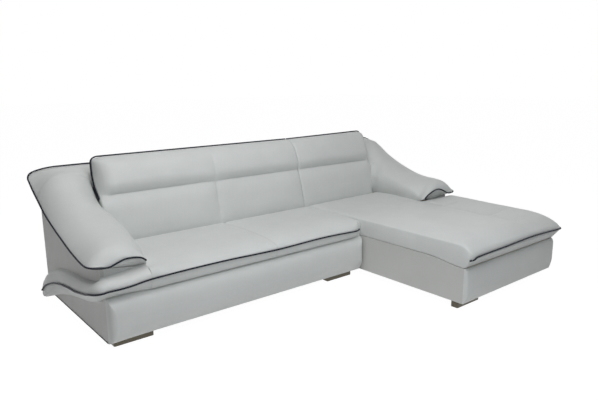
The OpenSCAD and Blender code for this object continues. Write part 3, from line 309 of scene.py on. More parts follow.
def corner_ring(a):
    t, r = a / 90, math.radians(a)
    low = wing_z(ARM_SETBACK) - wing_down(ARM_SETBACK)
    top = wing_z(ARM_SETBACK) + wing_up(ARM_SETBACK)
    return wing_ring((0, ARM_SETBACK), (-math.sin(r), -math.cos(r)), corner_reach(a),
                     blend(ARM_SETBACK, 4, t), blend(PAD_BOTTOM, low, t),
                     blend(lip_z(0), wing_z(ARM_SETBACK), t), blend(SEAT_H - 3, top, t), plump=1)


def side_ring(y, extra=12.0):
    """Outline of a wing at y, along the side."""
    e = wing_reach(y, extra)
    return wing_ring((0, y), (-1, 0), e, min(4, e / 2), wing_z(y) - wing_down(y), wing_z(y),
                     wing_z(y) + wing_up(y), clamp((y - 450) / 350),
                     plump=clamp((350 - y) / 300) if extra else 0)


def end_drop(d, h=11.0, r=45.0):
    """How far a pad's top rounds down at distance d from its end."""
    return h * (1 - rounding(d / r))


def pad_top(x, crown):
    return (SEAT_H + crown - end_drop(XS - x) - end_drop(x - PAD_LEFT, 3, 20)
            - 8 * dip(x - SEAT_SEAM, 15))


def lip_out(x):
    """How far the two-seat pad's lip hangs over the front."""
    return LIP_OVER * (0.1 + 0.9 * rounding((XS - LIP_END - x) / LIP_TURN))


def seat_ring(x):
    """Outline of the two-seat pad at x."""
    r, o, near = lip_z(x), lip_out(x), dip(x - PAD_LEFT, 60)
    return [(x, q[0], q[1]) for q in (
        (-o, r), (-o * 0.87, r - 24), (-o * 0.6, PAD_BOTTOM + 7), (-o * 0.4, PAD_BOTTOM),
        (PAD_REAR, PAD_BOTTOM), (PAD_REAR + 0.5, SEAT_H - 22), (PAD_REAR - 14, pad_top(x, 1)),
        (PAD_REAR - 110, pad_top(x, CROWN * 0.75)), (SEAT_D * 0.5, pad_top(x, CROWN)),
        (SEAT_D * 0.22, pad_top(x, CROWN * 0.8)), (SEAT_D * 0.07, pad_top(x, CROWN * 0.4)),
        (0, pad_top(x, 1 + 14 * near)), (-o * 0.55, pad_top(x, -8 + 18 * near)),
        (-o * 0.88, blend(r, SEAT_H - 8, 0.55) + 5 * near))]


LIP_FRONT = CHAISE_FRONT - CHAISE_LIP
CHAISE_TURN = 46.0
CHAISE_SIDE = TOTAL_W + CHAISE_SIDE_LIP
WIDE_END = ARM_SETBACK - 0.4


def chaise_sewn(x, y):
    """Depth of the sewn lines in the chaise pad."""
    along = dip(x - CHAISE_LINE, SEWN_W) * (1 - dip(y - LIP_FRONT, 170)) * (
        1 if y < NEAR_ARM else math.exp(-(y - NEAR_ARM) / 60))
    across = sum(dip(y - line, SEWN_W) for line in CROSS_LINES) * rounding(
        (x - CHAISE_LINE) / 30) * dip(x - CHAISE_LINE - 40, 130) * (0 if x < CHAISE_LINE else 1)
    return 5.6 * (along + across)


def arm_press(x, y):
    """How much the right arm presses on the chaise pad, 0 to 1."""
    in_from_arm = x - TOTAL_W + arm_x_in(y, ARM_NOSE)
    return rounding((in_from_arm + 50) / 40) * clamp((y - NEAR_ARM) / 100) ** 2


def under_arm(x, y):
    """1 where the chaise pad lies under the right arm's frame, 0 where it is free."""
    in_from_pad = x - TOTAL_W + arm_x_in(y, ARM_NOSE) - ARM_HANG
    return max(0, min(1, (x - INNER_X) / 24), dip(y - WIDE_END, 20) * min(1, in_from_pad / 16))


def chaise_full(x, y):
    """Height of the chaise pad's top, away from its edges."""
    rise = RISE * (x - XC) / CHAISE_W * (1 - 0.4 * max(0, y / CHAISE_FRONT, 1.4 * y / SEAT_D))
    z = (blend(SEAT_H, SEAT_H + CROWN + rise, rounding((PAD_REAR - y) / 120))
         - 14 * (1 - rounding((x - XC) / 40)) - chaise_sewn(x, y))
    return blend(z, min(z, blend(press_h(y), SEAT_H + 12, under_arm(x, y))), arm_press(x, y))


def top_at(y):
    """Height of the chaise's base."""
    t = clamp((CHAISE_FRONT + DIP_LENGTH - y) / DIP_LENGTH)
    return BASE_TOP - CHAISE_DIP * t * t * (3 - 2 * t)


def chaise_in_x(y):
    return XC + CHAISE_NOOK * (1 - rounding((y - LIP_FRONT) / CHAISE_NOOK))


def chaise_out_x(y):
    if y < WIDE_END - 0.5:
        return CHAISE_SIDE - CHAISE_TURN * (1 - rounding((y - LIP_FRONT) / CHAISE_TURN))
    return INNER_X


def chaise_z(x, y):
    """Height of the chaise pad, rounded down to its piped edge."""
    side, front = chaise_out_x(y), 100 + 110 * (max(0, x - XC) / CHAISE_W) ** 1.5
    in_from_side = side - x + (0 if y < WIDE_END - 0.5 else 40)
    k = rounding((y - LIP_FRONT) / front) * rounding(in_from_side / 95)
    return blend(chaise_lip_z(x), chaise_full(x, y), k)


def back_face(z):
    """Front of the back cushions, with the crease under the head roll."""
    return SEAT_D + curve([[PAD_BOTTOM, 3], [SEAT_H + 8, 5], [460, 16], [529, 30], [600, 44],
        [CREASE_H, 62], [CREASE_H + 30, 50], [738, 60], [785, 78], [830, 104], [849, 122],
        [862, 146], [BACK_H, 175]], z)


def back_rear(z):
    return blend(740, 770, (z - 258) / 527) - 4


def seam_lean(z):
    """How far a back cushion leans over at the seam."""
    return -BACK_SLANT * (z - PAD_BOTTOM) / (BACK_H - PAD_BOTTOM)


def end_line(z):
    """Place of the piped edge down a back cushion's free end."""
    return curve([[PAD_BOTTOM, 600], [CREASE_H - 55, 624], [CREASE_H - 30, 648], [CREASE_H, 678],
                  [CREASE_H + 35, 712], [CREASE_H + 85, 738], [BACK_H - 88, 748],
                  [BACK_H - 32, 752], [BACK_H, 752]], z)


def corner_drop(z, close):
    return 20 * close * clamp((z - BACK_H + 72) / 60)


EDGE_Y, EDGE_Z = BACK_Y - 8, BACK_H - CORD_R - 3


def lifted(z, rise):
    """Height z on a head roll that is higher by rise."""
    return z + rise * max(0, (z - CREASE_H) / (BACK_H - CREASE_H))


REAR_ZS = [PAD_BOTTOM + 0.5, 400, 540, 620, 700, 760]
FACE_ZS = [EDGE_Z - 8, 840, 800, 750, 700, CREASE_H + 16, CREASE_H, CREASE_H - 16, 600, 530, 460,
           400, PAD_BOTTOM + 0.5]


def back_ring(x, swell, sewn, close, tight, rise, lean):
    """Outline of a back cushion at x."""
    pts = [(blend(back_rear(z) - 8 * tight, end_line(z) + 4, close), z) for z in REAR_ZS]
    pts += [(BACK_Y + 4, 815), (BACK_Y + 1, EDGE_Z - 18), (EDGE_Y, EDGE_Z)]
    for z in FACE_ZS:
        full = (0.6 if z > CREASE_H + 45 else 1) * (1 - dip(z - CREASE_H, 20))
        full *= clamp((z - SEAT_H - 18) / 80)
        deep = sewn * full * (0.3 if z > CREASE_H else 1)
        face = back_face(z) - swell * full + deep + 8 * tight
        pts.append((blend(face, end_line(z) - 14, close), z))
    return [(x + lean * seam_lean(q[1]), q[0], lifted(q[1], rise) - corner_drop(q[1], close))
            for q in pts]


# places in the outlines that stay sharp
SEAT_EDGES, WING_EDGES, BACK_EDGES = {0, 3, 4}, {0, 1, 3, 6}, {0, 8, 15, 21}
ARM_EDGES = {0, 11, 12, 13, 14, 15, 16, 17}


# ---------------------------------------------------------------- meshes
def world(p, mirrored=False):
    """Points in millimetres from the corner, as metres in the part's frame."""
    p = np.array(p, float)
    if mirrored:
        p = p * [-1, 1, 1] + [TOTAL_W, 0, 0]
    return (p - SHIFT) / 1000


def norm(v):
    return np.linalg.norm(v, axis=-1, keepdims=True) + 1e-9


def smooth(rings, corners, step):
    """Rings of few points, as rings of many points on smooth lines that keep the corners."""
    p = np.array(rings, float)
    n = p.shape[1]
    middle = p[p.shape[0] // 2]
    out = []

    def slope(k):
        a, b, c = p[:, (k - 1) % n], p[:, k % n], p[:, (k + 1) % n]
        d0, d1 = norm(b - a), norm(c - b)
        return ((b - a) / d0 * d1 + (c - b) / d1 * d0) / (d0 + d1)

    for i in range(n):
        j = (i + 1) % n
        a, b = p[:, i], p[:, j]
        h = norm(b - a)
        chord = (b - a) / h
        sharp_a, sharp_b = i in corners, j in corners
        ma = chord if sharp_a else slope(i)
        mb = chord if sharp_b else slope(j)
        if sharp_a and not sharp_b:
            ma = 1.5 * chord - 0.5 * mb
        if sharp_b and not sharp_a:
            mb = 1.5 * chord - 0.5 * ma
        count = max(2, int(round(np.linalg.norm(middle[j] - middle[i]) / step)))
        for s in range(count):
            t = s / count
            if sharp_a and count > 3:
                t = t ** 1.35
            if sharp_b and count > 3:
                t = 1 - (1 - t) ** 1.35
            out.append((2 * t ** 3 - 3 * t ** 2 + 1) * a + (t ** 3 - 2 * t ** 2 + t) * h * ma
                       + (-2 * t ** 3 + 3 * t ** 2) * b + (t ** 3 - t ** 2) * h * mb)
    return np.stack(out, axis=1)


def grid_object(name, grid, material, mirrored=False, angle=50.0):
    """Closed skin over a grid of rings, with its ends filled."""
    r, m = grid.shape[:2]
    verts = world(grid.reshape(-1, 3), mirrored)
    faces = [(j * m + i, j * m + (i + 1) % m, (j + 1) * m + (i + 1) % m, (j + 1) * m + i)
             for j in range(r - 1) for i in range(m)]
    faces += [tuple(range(m - 1, -1, -1)), tuple((r - 1) * m + i for i in range(m))]
    me = bpy.data.meshes.new(name)
    me.from_pydata([tuple(v) for v in verts], [], faces)
    me.update()
    bm = bmesh.new()
    bm.from_mesh(me)
    bmesh.ops.recalc_face_normals(bm, faces=bm.faces)
    bm.to_mesh(me)
    bm.free()
    for f in me.polygons:
        f.use_smooth = True
    me.set_sharp_from_angle(angle=math.radians(angle))
    ob = bpy.data.objects.new(name, me)
    bpy.context.scene.collection.objects.link(ob)
    me.materials.append(material)
    return ob


def paint_seam_shade(ob, lines, width=5.0):
    """Writes how near each point lies to a sewn line, piped edge or crease, for the material to
    darken there as painted shade.
    """
    pts = world(np.concatenate([np.array(x, float) for x in lines]))
    tree = KDTree(len(pts))
    for i, q in enumerate(pts):
        tree.insert(q, i)
    tree.balance()
    me = ob.data
    att = me.attributes.new("seam", "FLOAT", "POINT")
    w = width / 1000
    vals = [math.exp(-(tree.find(v.co)[2] / w) ** 2) for v in me.vertices]
    att.data.foreach_set("value", vals)


def dense(line, step=3.0):
    """Points along a line, no further apart than step."""
    p = np.array(line, float)
    out = []
    for a, b in zip(p[:-1], p[1:]):
        n = max(1, int(math.ceil(np.linalg.norm(b - a) / step)))
        out += [a + (b - a) * k / n for k in range(n)]
    out.append(p[-1])
    return np.array(out)


def even(line, step):
    """Points along a line, evenly spaced."""
    p = np.array(line, float)
    d = np.concatenate([[0], np.cumsum(np.linalg.norm(np.diff(p, axis=0), axis=1))])
    n = max(2, int(round(d[-1] / step)))
    s = np.linspace(0, d[-1], n + 1)
    return np.stack([np.interp(s, d, p[:, k]) for k in range(3)], axis=1)


def rounded(line, passes=2):
    """Softens the corners of a line."""
    p = np.array(line, float)
    for _ in range(passes):
        q = p.copy()
        q[1:-1] = (p[:-2] + 2 * p[1:-1] + p[2:]) / 4
        p = q
    return p


def cord_object(name, line, radius, material, mirrored=False):
    """Round cord along a line."""
    cu = bpy.data.curves.new(name, "CURVE")
    cu.dimensions = "3D"
    sp = cu.splines.new("POLY")
    pts = world(line, mirrored)
    sp.points.add(len(pts) - 1)
    for q, v in zip(sp.points, pts):
        q.co = (*v, 1)
    cu.bevel_depth = radius / 1000
    cu.bevel_resolution = 3
    cu.use_fill_caps = True
    cu.materials.append(material)
    ob = bpy.data.objects.new(name, cu)
    bpy.context.scene.collection.objects.link(ob)
    return ob


PRESSURE, FRAMES = 9.0, 12


def puff(ob, free, cap):
    """Lets air pressure fill the leather where free allows it, by less than cap millimetres."""
    me = ob.data
    start = np.array([v.co[:] for v in me.vertices])
    corner = start * 1000 + SHIFT
    held = [i for i, q in enumerate(corner) if not free(*q)]
    group = ob.vertex_groups.new(name="held")
    group.add(held, 1.0, "REPLACE")
    mod = ob.modifiers.new("air", "CLOTH")
    cloth = mod.settings
    cloth.quality = 5
    cloth.mass = 0.4
    cloth.tension_stiffness = cloth.compression_stiffness = 18
    cloth.shear_stiffness = 8
    cloth.bending_stiffness = 0.6
    cloth.use_pressure = True
    cloth.uniform_pressure_force = PRESSURE
    cloth.vertex_group_mass = "held"
    cloth.effector_weights.gravity = 0
    mod.collision_settings.use_collision = False
    scene = bpy.context.scene
    for f in range(FRAMES):
        scene.frame_set(f + 1)
    solved = ob.evaluated_get(bpy.context.evaluated_depsgraph_get()).to_mesh()
    end = np.array([v.co[:] for v in solved.vertices])
    ob.modifiers.remove(mod)
    scene.frame_set(1)
    move = end - start
    move = move * (cap / 1000) / (norm(move) + cap / 1000)
    me.vertices.foreach_set("co", (start + move).ravel())
    me.update()


# ---------------------------------------------------------------- materials
def new_material(name):
    m = bpy.data.materials.new(name)
    m.use_nodes = True
    m.node_tree.nodes.clear()
    return m, m.node_tree


def add(nt, kind, **values):
    n = nt.nodes.new(kind)
    for k, v in values.items():
        if k.startswith("in_"):
            n.inputs[k[3:].replace("_", " ")].default_value = v
        else:
            setattr(n, k, v)
    return n


def srgb(r, g, b):
    def f(c):
        c = c / 255
        return c / 12.92 if c <= 0.04045 else ((c + 0.055) / 1.055) ** 2.4
    return (f(r), f(g), f(b), 1)


def surface(nt, **values):
    """A Principled shader on the material's output."""
    bsdf = add(nt, "ShaderNodeBsdfPrincipled", **values)
    nt.links.new(bsdf.outputs[0], add(nt, "ShaderNodeOutputMaterial").inputs[0])
    return bsdf


def textured(nt, kind, place, **values):
    n = add(nt, kind, **values)
    nt.links.new(place, n.inputs["Vector"])
    return n


def ranged(nt, source, low, high, start=0.0, end=1.0):
    n = add(nt, "ShaderNodeMapRange", in_From_Min=start, in_From_Max=end, in_To_Min=low,
            in_To_Max=high)
    nt.links.new(source, n.inputs["Value"])
    return n.outputs[0]


def product(nt, a, b):
    n = add(nt, "ShaderNodeMath", operation="MULTIPLY")
    nt.links.new(a, n.inputs[0])
    nt.links.new(b, n.inputs[1])
    return n.outputs[0]


def tinted(nt, bsdf, colour, shade):
    """Gives the shader its colour, made darker or lighter by shade."""
    n = add(nt, "ShaderNodeMix", data_type="RGBA", blend_type="MULTIPLY", in_Factor=1.0,
            in_A=colour)
    nt.links.new(shade, n.inputs["B"])
    nt.links.new(n.outputs["Result"], bsdf.inputs["Base Color"])


def bumped(nt, height, strength, distance, below=None):
    n = add(nt, "ShaderNodeBump", in_Strength=strength, in_Distance=distance)
    nt.links.new(height, n.inputs["Height"])
    if below is not None:
        nt.links.new(below, n.inputs["Normal"])
    return n.outputs["Normal"]


def leather(name, colour, rough=0.44, wrinkle=1.0, grain=1.0, coat=0.06, shine=0.35):
    """Grained leather with faint folds, uneven tone and gloss, and painted shade along sewn lines,
    piped edges and creases.
    """
    m, nt = new_material(name)
    place = add(nt, "ShaderNodeTexCoord").outputs["Object"]
    bsdf = surface(nt, in_Coat_Weight=coat, in_Coat_Roughness=0.35, in_Specular_IOR_Level=shine)
    tone = textured(nt, "ShaderNodeTexNoise", place, in_Scale=3.2, in_Detail=4.0, in_Roughness=0.6)
    cells = textured(nt, "ShaderNodeTexVoronoi", place, in_Scale=620.0, in_Randomness=0.95,
                     feature="DISTANCE_TO_EDGE")
    pebble = ranged(nt, cells.outputs["Distance"], 0.0, 1.0, 0.0, 0.22)
    shade = product(nt, ranged(nt, tone.outputs["Fac"], 0.955, 1.03, 0.3, 0.7),
                    ranged(nt, pebble, 0.97, 1.0))
    # painted shade: up to 8% darker where the seam attribute marks a sewn line, piped edge or
    # crease
    seam = add(nt, "ShaderNodeAttribute", attribute_name="seam")
    tinted(nt, bsdf, colour, product(nt, shade, ranged(nt, seam.outputs["Fac"], 1.0, 0.92)))
    gloss = textured(nt, "ShaderNodeTexNoise", place, in_Scale=14.0, in_Detail=3.0)
    nt.links.new(ranged(nt, gloss.outputs["Fac"], rough - 0.05, rough + 0.06, 0.3, 0.7),
                 bsdf.inputs["Roughness"])
    folds = textured(nt, "ShaderNodeTexNoise", place, in_Scale=26.0, in_Detail=5.0,
                     in_Roughness=0.62, in_Distortion=0.5)
    normal = bumped(nt, folds.outputs["Fac"], 0.10 * wrinkle, 0.004)
    nt.links.new(bumped(nt, pebble, 0.22 * grain, 0.0006, normal), bsdf.inputs["Normal"])
    return m


def simple(name, colour, rough, metal=0.0, kind="noise", scale=40.0, amount=0.12, bump=0.2,
           distance=0.001, stretch=(1, 1, 1)):
    """A surface whose colour, gloss and bump vary with one pattern."""
    m, nt = new_material(name)
    place = textured(nt, "ShaderNodeMapping", add(nt, "ShaderNodeTexCoord").outputs["Object"],
                     in_Scale=stretch).outputs[0]
    if kind == "weave":
        bands = [textured(nt, "ShaderNodeTexWave", place, in_Scale=scale, in_Distortion=0.3,
                          in_Detail=1.0, bands_direction=way) for way in ("X", "Y")]
        fac = product(nt, bands[0].outputs["Fac"], bands[1].outputs["Fac"])
    else:
        fac = textured(nt, "ShaderNodeTexNoise", place, in_Scale=scale, in_Detail=6.0,
                       in_Roughness=0.6).outputs["Fac"]
    bsdf = surface(nt, in_Metallic=metal)
    tinted(nt, bsdf, colour, ranged(nt, fac, 1 - amount, 1 + amount, 0.25, 0.75))
    nt.links.new(ranged(nt, fac, rough - 0.06, rough + 0.06, 0.25, 0.75), bsdf.inputs["Roughness"])
    nt.links.new(bumped(nt, fac, bump, distance), bsdf.inputs["Normal"])
    return m


LEATHER = leather("leather_pale", srgb(222, 224, 222))
PANEL_LEATHER = leather("leather_panel", srgb(209, 209, 206), rough=0.46, wrinkle=0.6)
PIPING = leather("leather_piping", srgb(20, 23, 36), rough=0.5, wrinkle=0.0, grain=0.5, coat=0.0,
                 shine=0.2)
TIMBER = simple("timber", srgb(196, 164, 118), 0.6, scale=9, amount=0.22, stretch=(1, 1, 7))
WEBBING = simple("webbing", srgb(44, 44, 48), 0.75, kind="weave", scale=220, amount=0.3, bump=0.4)
FOAM = simple("foam", srgb(226, 216, 176), 0.9, scale=300, amount=0.1, bump=0.5)
STEEL = simple("steel", srgb(150, 150, 152), 0.38, metal=1.0, scale=60, amount=0.08)
BRONZE = simple("foot_metal", srgb(92, 88, 78), 0.34, metal=0.85, scale=30, amount=0.35, bump=0.15,
                distance=0.0004, stretch=(0.6, 14, 22))
DUST = simple("dust_cover", srgb(38, 38, 40), 0.9, kind="weave", scale=400, amount=0.25, bump=0.3)

SLOTS = {"timber": TIMBER, "webbing": WEBBING, "foam": FOAM, "steel": STEEL, "foot_metal": BRONZE,
         "dust_cover": DUST, "leather": LEATHER, "panel_leather": PANEL_LEATHER, "piping": PIPING}
for part in frame["record"]["subparts"]:
    ob = nodes[part["node"]]
    ob.data.materials.clear()
    ob.data.materials.append(SLOTS[part["material_slot"]])


def dress(ob, body, slot, *stands_for, fill=None):
    """Puts a finished piece on its body."""
    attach(ob, body)
    if stands_for:
        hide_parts(*stands_for)
    return ob


# ---------------------------------------------------------------- seat pads
seat_xs = spread(PAD_LEFT, XS, 14, (PAD_LEFT, SEAT_SEAM, XS))
seat_grid = smooth([seat_ring(x) for x in seat_xs], SEAT_EDGES, 13)
seat = dress(grid_object("sofa_seat_cushion", seat_grid, LEATHER), "sofa", "leather",
             "sofa_seat_pad", fill=0.8)
puff(seat, lambda x, y, z: (z > SEAT_H - 26 and y < SEAT_D - 32 and ARM_W + 40 < x < XS - 12
                            and abs(x - SEAT_SEAM) > 6), SEAT_SWELL)
# painted shade along the seam between the pads and along the piped lip
paint_seam_shade(seat, [[q for q in smooth([seat_ring(SEAT_SEAM)], SEAT_EDGES, 3)[0] if q[2] > 300],
                  [(x, -LIP_OVER, lip_z(x)) for x in seat_xs]])

chaise_ys = spread(LIP_FRONT, PAD_REAR, 15, (LIP_FRONT, *CROSS_LINES, PAD_REAR))
DECK_FRONT = CHAISE_FRONT + 18
chaise_ys = sorted([y for y in chaise_ys
                    if abs(y - WIDE_END + 0.5) > 3 and abs(y - DECK_FRONT) > 4]
                   + [WIDE_END - 0.8, WIDE_END - 0.2, DECK_FRONT - 1.5, DECK_FRONT - 1])


def chaise_ring(y):
    """Outline of the chaise pad at y."""
    left, side, wide = chaise_in_x(y), chaise_out_x(y), y < WIDE_END - 0.5
    under = blend(chaise_lip_z(XC), top_at(y) + 1, clamp((y - LIP_FRONT) / CHAISE_LIP, 0.05, 1))
    foot = min(TOTAL_W, side - 4) if wide else INNER_X
    deck, skirt = (under if y < DECK_FRONT - 1 else PAD_BOTTOM) + 0.4, PANEL - 0.4
    ring = [(left + 5, y, under), (left + 1.5, y, under + 4), (left, y, under + 11)]
    ring += [(x, y, chaise_z(x, y)) for x in chaise_across(left, side)]
    low = blend(under, chaise_z(side, y), 0.4)
    return ring + [(blend(foot, side, 0.5) + 1, y, low), (foot, y, under),
                   (foot - skirt, y, under + 0.1), (foot - skirt - 0.2, y, deck),
                   (left + skirt + 0.2, y, deck), (left + skirt, y, under + 0.1)]


def chaise_across(left, side):
    """Places across the chaise pad, the same number at any width."""
    base = spread(XC, CHAISE_SIDE, 14, (XC, CHAISE_LINE, CHAISE_SIDE), 30)
    keep = (side - XC) / (CHAISE_SIDE - XC)
    if keep > 0.97:
        return [blend(left, side, (x - XC) / (CHAISE_SIDE - XC)) for x in base]
    line = (CHAISE_LINE - XC) / (CHAISE_SIDE - XC)
    out = []
    for x in base:
        t = (x - XC) / (CHAISE_SIDE - XC)
        if t < line:
            out.append(x)
        else:
            out.append(blend(CHAISE_LINE, side, (t - line) / (1 - line)))
    return out


chaise_grid = np.array([chaise_ring(y) for y in chaise_ys])
chaise = dress(grid_object("chaise_seat_cushion", chaise_grid, LEATHER), "chaise", "leather",
               "chaise_seat_pad", fill=0.8)
puff(chaise, lambda x, y, z: (z > SEAT_H - 20 and LIP_FRONT + 14 < y < 30
                              and XC + 8 < x < CHAISE_SIDE - 14
                              and chaise_sewn(x, y) < 2.5), SEAT_SWELL)
# painted shade along the sewn lines and along the piped front edge
paint_seam_shade(chaise, [
    dense([(CHAISE_LINE, y, chaise_z(CHAISE_LINE, y))
           for y in np.arange(CHAISE_FRONT + 130, NEAR_ARM, 10)]),
    *[dense([(x, y, chaise_z(x, y)) for x in np.arange(CHAISE_LINE, CHAISE_LINE + 160, 6)])
      for y in CROSS_LINES],
    dense([(x, LIP_FRONT, chaise_lip_z(x)) for x in np.arange(XC, CHAISE_SIDE - 40, 10)])])

# ---------------------------------------------------------------- wings
front_xs = spread(0, ARM_W + 2, 12)[::-1]
wing_ys = spread(ARM_SETBACK, WING_REAR, 12, (WING_REAR,), 60, 4)
HALF = 110  # half the way from the corner to the seat pad


def front_ring(x):
    """Outline of the left wing at x, where it runs along the front below the arm."""
    up = SEAT_H - 3 + 8 * clamp((x - HALF) / HALF) + 19 * clamp(x / (2 * HALF)) ** 1.5
    return wing_ring((x, ARM_SETBACK), (0, -1), FRONT_REACH, ARM_SETBACK, PAD_BOTTOM, lip_z(x),
                     up, 0, clamp((x - HALF) / HALF), clamp(1 - x / HALF))


left_rings = ([front_ring(x) for x in front_xs] + [corner_ring(a) for a in range(5, 90, 5)]
              + [side_ring(y) for y in wing_ys])
right_rings = [side_ring(y, 0) for y in wing_ys]
for side, body, rings in (("left", "sofa", left_rings), ("right", "chaise", right_rings)):
    dress(grid_object(side + "_wing_cushion", smooth(rings, WING_EDGES, 8), LEATHER,
                      mirrored=side == "right"), body, "leather", side + "_wing_pad", fill=0.7)

lip_line = []
for x in np.concatenate([XS - LIP_END - LIP_TURN * np.linspace(0.2, 1, 22) ** 2,
                         np.arange(XS - LIP_END - LIP_TURN - 8, 0, -8)]):
    slope = (lip_out(x - 1) - lip_out(x + 1)) / 2
    size = math.hypot(1, slope)
    lip_line.append((x + CORD_OUT * slope / size, -lip_out(x) - CORD_OUT / size, lip_z(x)))


def corner_line():
    """The cord round the front corner."""
    out = []
    for a in range(0, 91, 5):
        r = corner_reach(max(a, 0.01)) + CORD_OUT
        out.append((-r * math.sin(math.radians(a)), ARM_SETBACK - r * math.cos(math.radians(a)),
                    blend(lip_z(0), wing_z(ARM_SETBACK), a / 90)))
    return out


def side_line(extra):
    """The cord along a wing's side."""
    return [(-wing_reach(y, extra) - CORD_OUT - 0.4, y, wing_z(y))
            for y in spread(ARM_SETBACK + 8, WING_REAR - 8, 8)]


sofa_line = even(rounded(lip_line + corner_line() + side_line(12)), 6)
dress(cord_object("sofa_seat_cord", sofa_line, CORD_R, PIPING), "sofa", "piping",
      "sofa_seat_piping")

side_z = chaise_lip_z(TOTAL_W + 30)
nook = CHAISE_NOOK + CORD_OUT
chaise_line = [(XC + CHAISE_NOOK - nook * math.sin(math.radians(a)),
                LIP_FRONT + CHAISE_NOOK - nook * math.cos(math.radians(a)),
                chaise_lip_z(XC + 10) - a / 7)
               for a in range(66, 0, -6)]
chaise_line += [(x, LIP_FRONT - CORD_OUT, chaise_lip_z(x))
                for x in np.arange(XC + CHAISE_NOOK, CHAISE_SIDE - CHAISE_TURN, 8)]
turn_r = CHAISE_TURN + CORD_OUT
chaise_line += [(CHAISE_SIDE - CHAISE_TURN + turn_r * math.sin(math.radians(a)),
                 LIP_FRONT + CHAISE_TURN - turn_r * math.cos(math.radians(a)), side_z)
                for a in range(10, 91, 10)]
chaise_line += [(CHAISE_SIDE + CORD_OUT, y, side_z) for y in np.arange(CHAISE_FRONT + 20, 1, 20)]
chaise_line += [(TOTAL_W - p[0], p[1], p[2]) for p in side_line(0)]
dress(cord_object("chaise_seat_cord", even(rounded(chaise_line), 6), CORD_R, PIPING), "chaise",
      "piping", "chaise_seat_piping")

# ---------------------------------------------------------------- arms
arm_ys = sorted(spread(ARM_FRONT, BODY_D, 12, (ARM_FRONT, BODY_D), 30, 2) + [TUCK_Y, TUCK_Y + 0.5])


def arm_cord(nose):
    """The cord round an arm pad, from the ledge along the side to the front."""
    up = CORD_OUT + 0.6
    line = [(x, BODY_D - CORD_OUT, arm_z(x, BODY_D - CORD_OUT) + up)
            for x in np.linspace(ARM_IN + ARM_TUCK, ARM_REAR_R - ARM_OVER, 30)]
    line = [(x, BODY_D - CORD_OUT, LEDGE_H + CORD_OUT) for x in (345, 330, 315, 300)] + line
    for a in range(6, 91, 6):
        t, r = a / 90, math.radians(a)
        off = ARM_REAR_R + blend(-CORD_OUT, up, t)
        x, y = ARM_REAR_R - ARM_OVER - off * math.sin(r), BODY_D - ARM_REAR_R + off * math.cos(r)
        line.append((x, y, arm_z(x, y) + up * math.cos(math.pi / 2 * max(0, 2 * t - 1))))
    line += [(-ARM_OVER - CORD_OUT, y, arm_outer(y)) for y in np.arange(BODY_D - 40, 64, -10)]
    line += [(-ARM_OVER + ARM_CORNER - (ARM_CORNER + CORD_OUT) * math.cos(math.radians(a)),
              ARM_FRONT + ARM_CORNER - (ARM_CORNER + CORD_OUT) * math.sin(math.radians(a)),
              blend(arm_outer(ARM_CORNER), arm_lip(0.06, nose), a / 90)) for a in range(0, 91, 9)]
    line += [(blend(ARM_CORNER - ARM_OVER, arm_x_in(ARM_FRONT, nose), s), ARM_FRONT - CORD_OUT,
              arm_lip(s, nose)) for s in np.linspace(0.08, 1, 28)]
    return even(rounded(dense(line, 6), 2), 5)


for side, body, nose, flip in (("left", "sofa", 0, False), ("right", "chaise", ARM_NOSE, True)):
    grid = smooth([arm_ring(y, nose) for y in arm_ys], ARM_EDGES, 14)
    arm = dress(grid_object(side + "_arm_cushion", grid, LEATHER, flip), body, "leather",
                side + "_arm_pad", fill=0.8)
    puff(arm, lambda x, y, z: (z > arm_outer(y) + 8 and z > arm_inner(y) - 4
                               and -ARM_OVER + 10 < (TOTAL_W - x if flip else x) < ARM_IN - 6
                               and 22 < y < BODY_D - 25), SOFT_SWELL)
    dress(cord_object(side + "_arm_cord", arm_cord(nose), CORD_R, PIPING, flip), body, "piping",
          side + "_arm_piping")

# leather that closes the end of each ledge and the rear of each arm, under the pads
END_X, END_T, END_LOW, END_HIGH = ARM_IN + ARM_TUCK + 2.2, 1.2, 430, LEDGE_H - LEDGE_T - 0.4
PANEL_REAR = BODY_D - PANEL
rear_low = min(arm_under_out(PANEL_REAR), arm_under_in(PANEL_REAR)) - 1


def closing_ring(y):
    """Outline at y of the strip between the rear panel's low part and the arm pad."""
    x0, x1 = PANEL + 1, ARM_IN + ARM_TUCK - 1
    rise = [(x, blend(arm_under_out(y), arm_under_in(y), clamp((x - x0) / (ARM_W - PANEL - 27))))
            for x in np.linspace(x0, x1, 14)]
    top = [(x, y, max(rear_low + 0.6, z - (1.5 if x < ARM_W - 30 else 4))) for x, z in rise]
    return top + [(x, y, rear_low + 0.2) for x in (x1, x0)]


for side, body, flip in (("left", "sofa", False), ("right", "chaise", True)):
    plate = [[(END_X, y, END_LOW), (END_X + END_T, y, END_LOW), (END_X + END_T, y, END_HIGH),
              (END_X, y, END_HIGH)] for y in np.linspace(BACK_Y + 17, PANEL_REAR - 0.4, 12)]
    strip = [closing_ring(y) for y in np.linspace(PANEL_REAR + 1, BODY_D - 0.5, 6)]
    for name, rings in (("_ledge_end", plate), ("_arm_rear_strip", strip)):
        dress(grid_object(side + name, np.array(rings), PANEL_LEATHER, flip, angle=30), body,
              "panel_leather")

# ---------------------------------------------------------------- backs


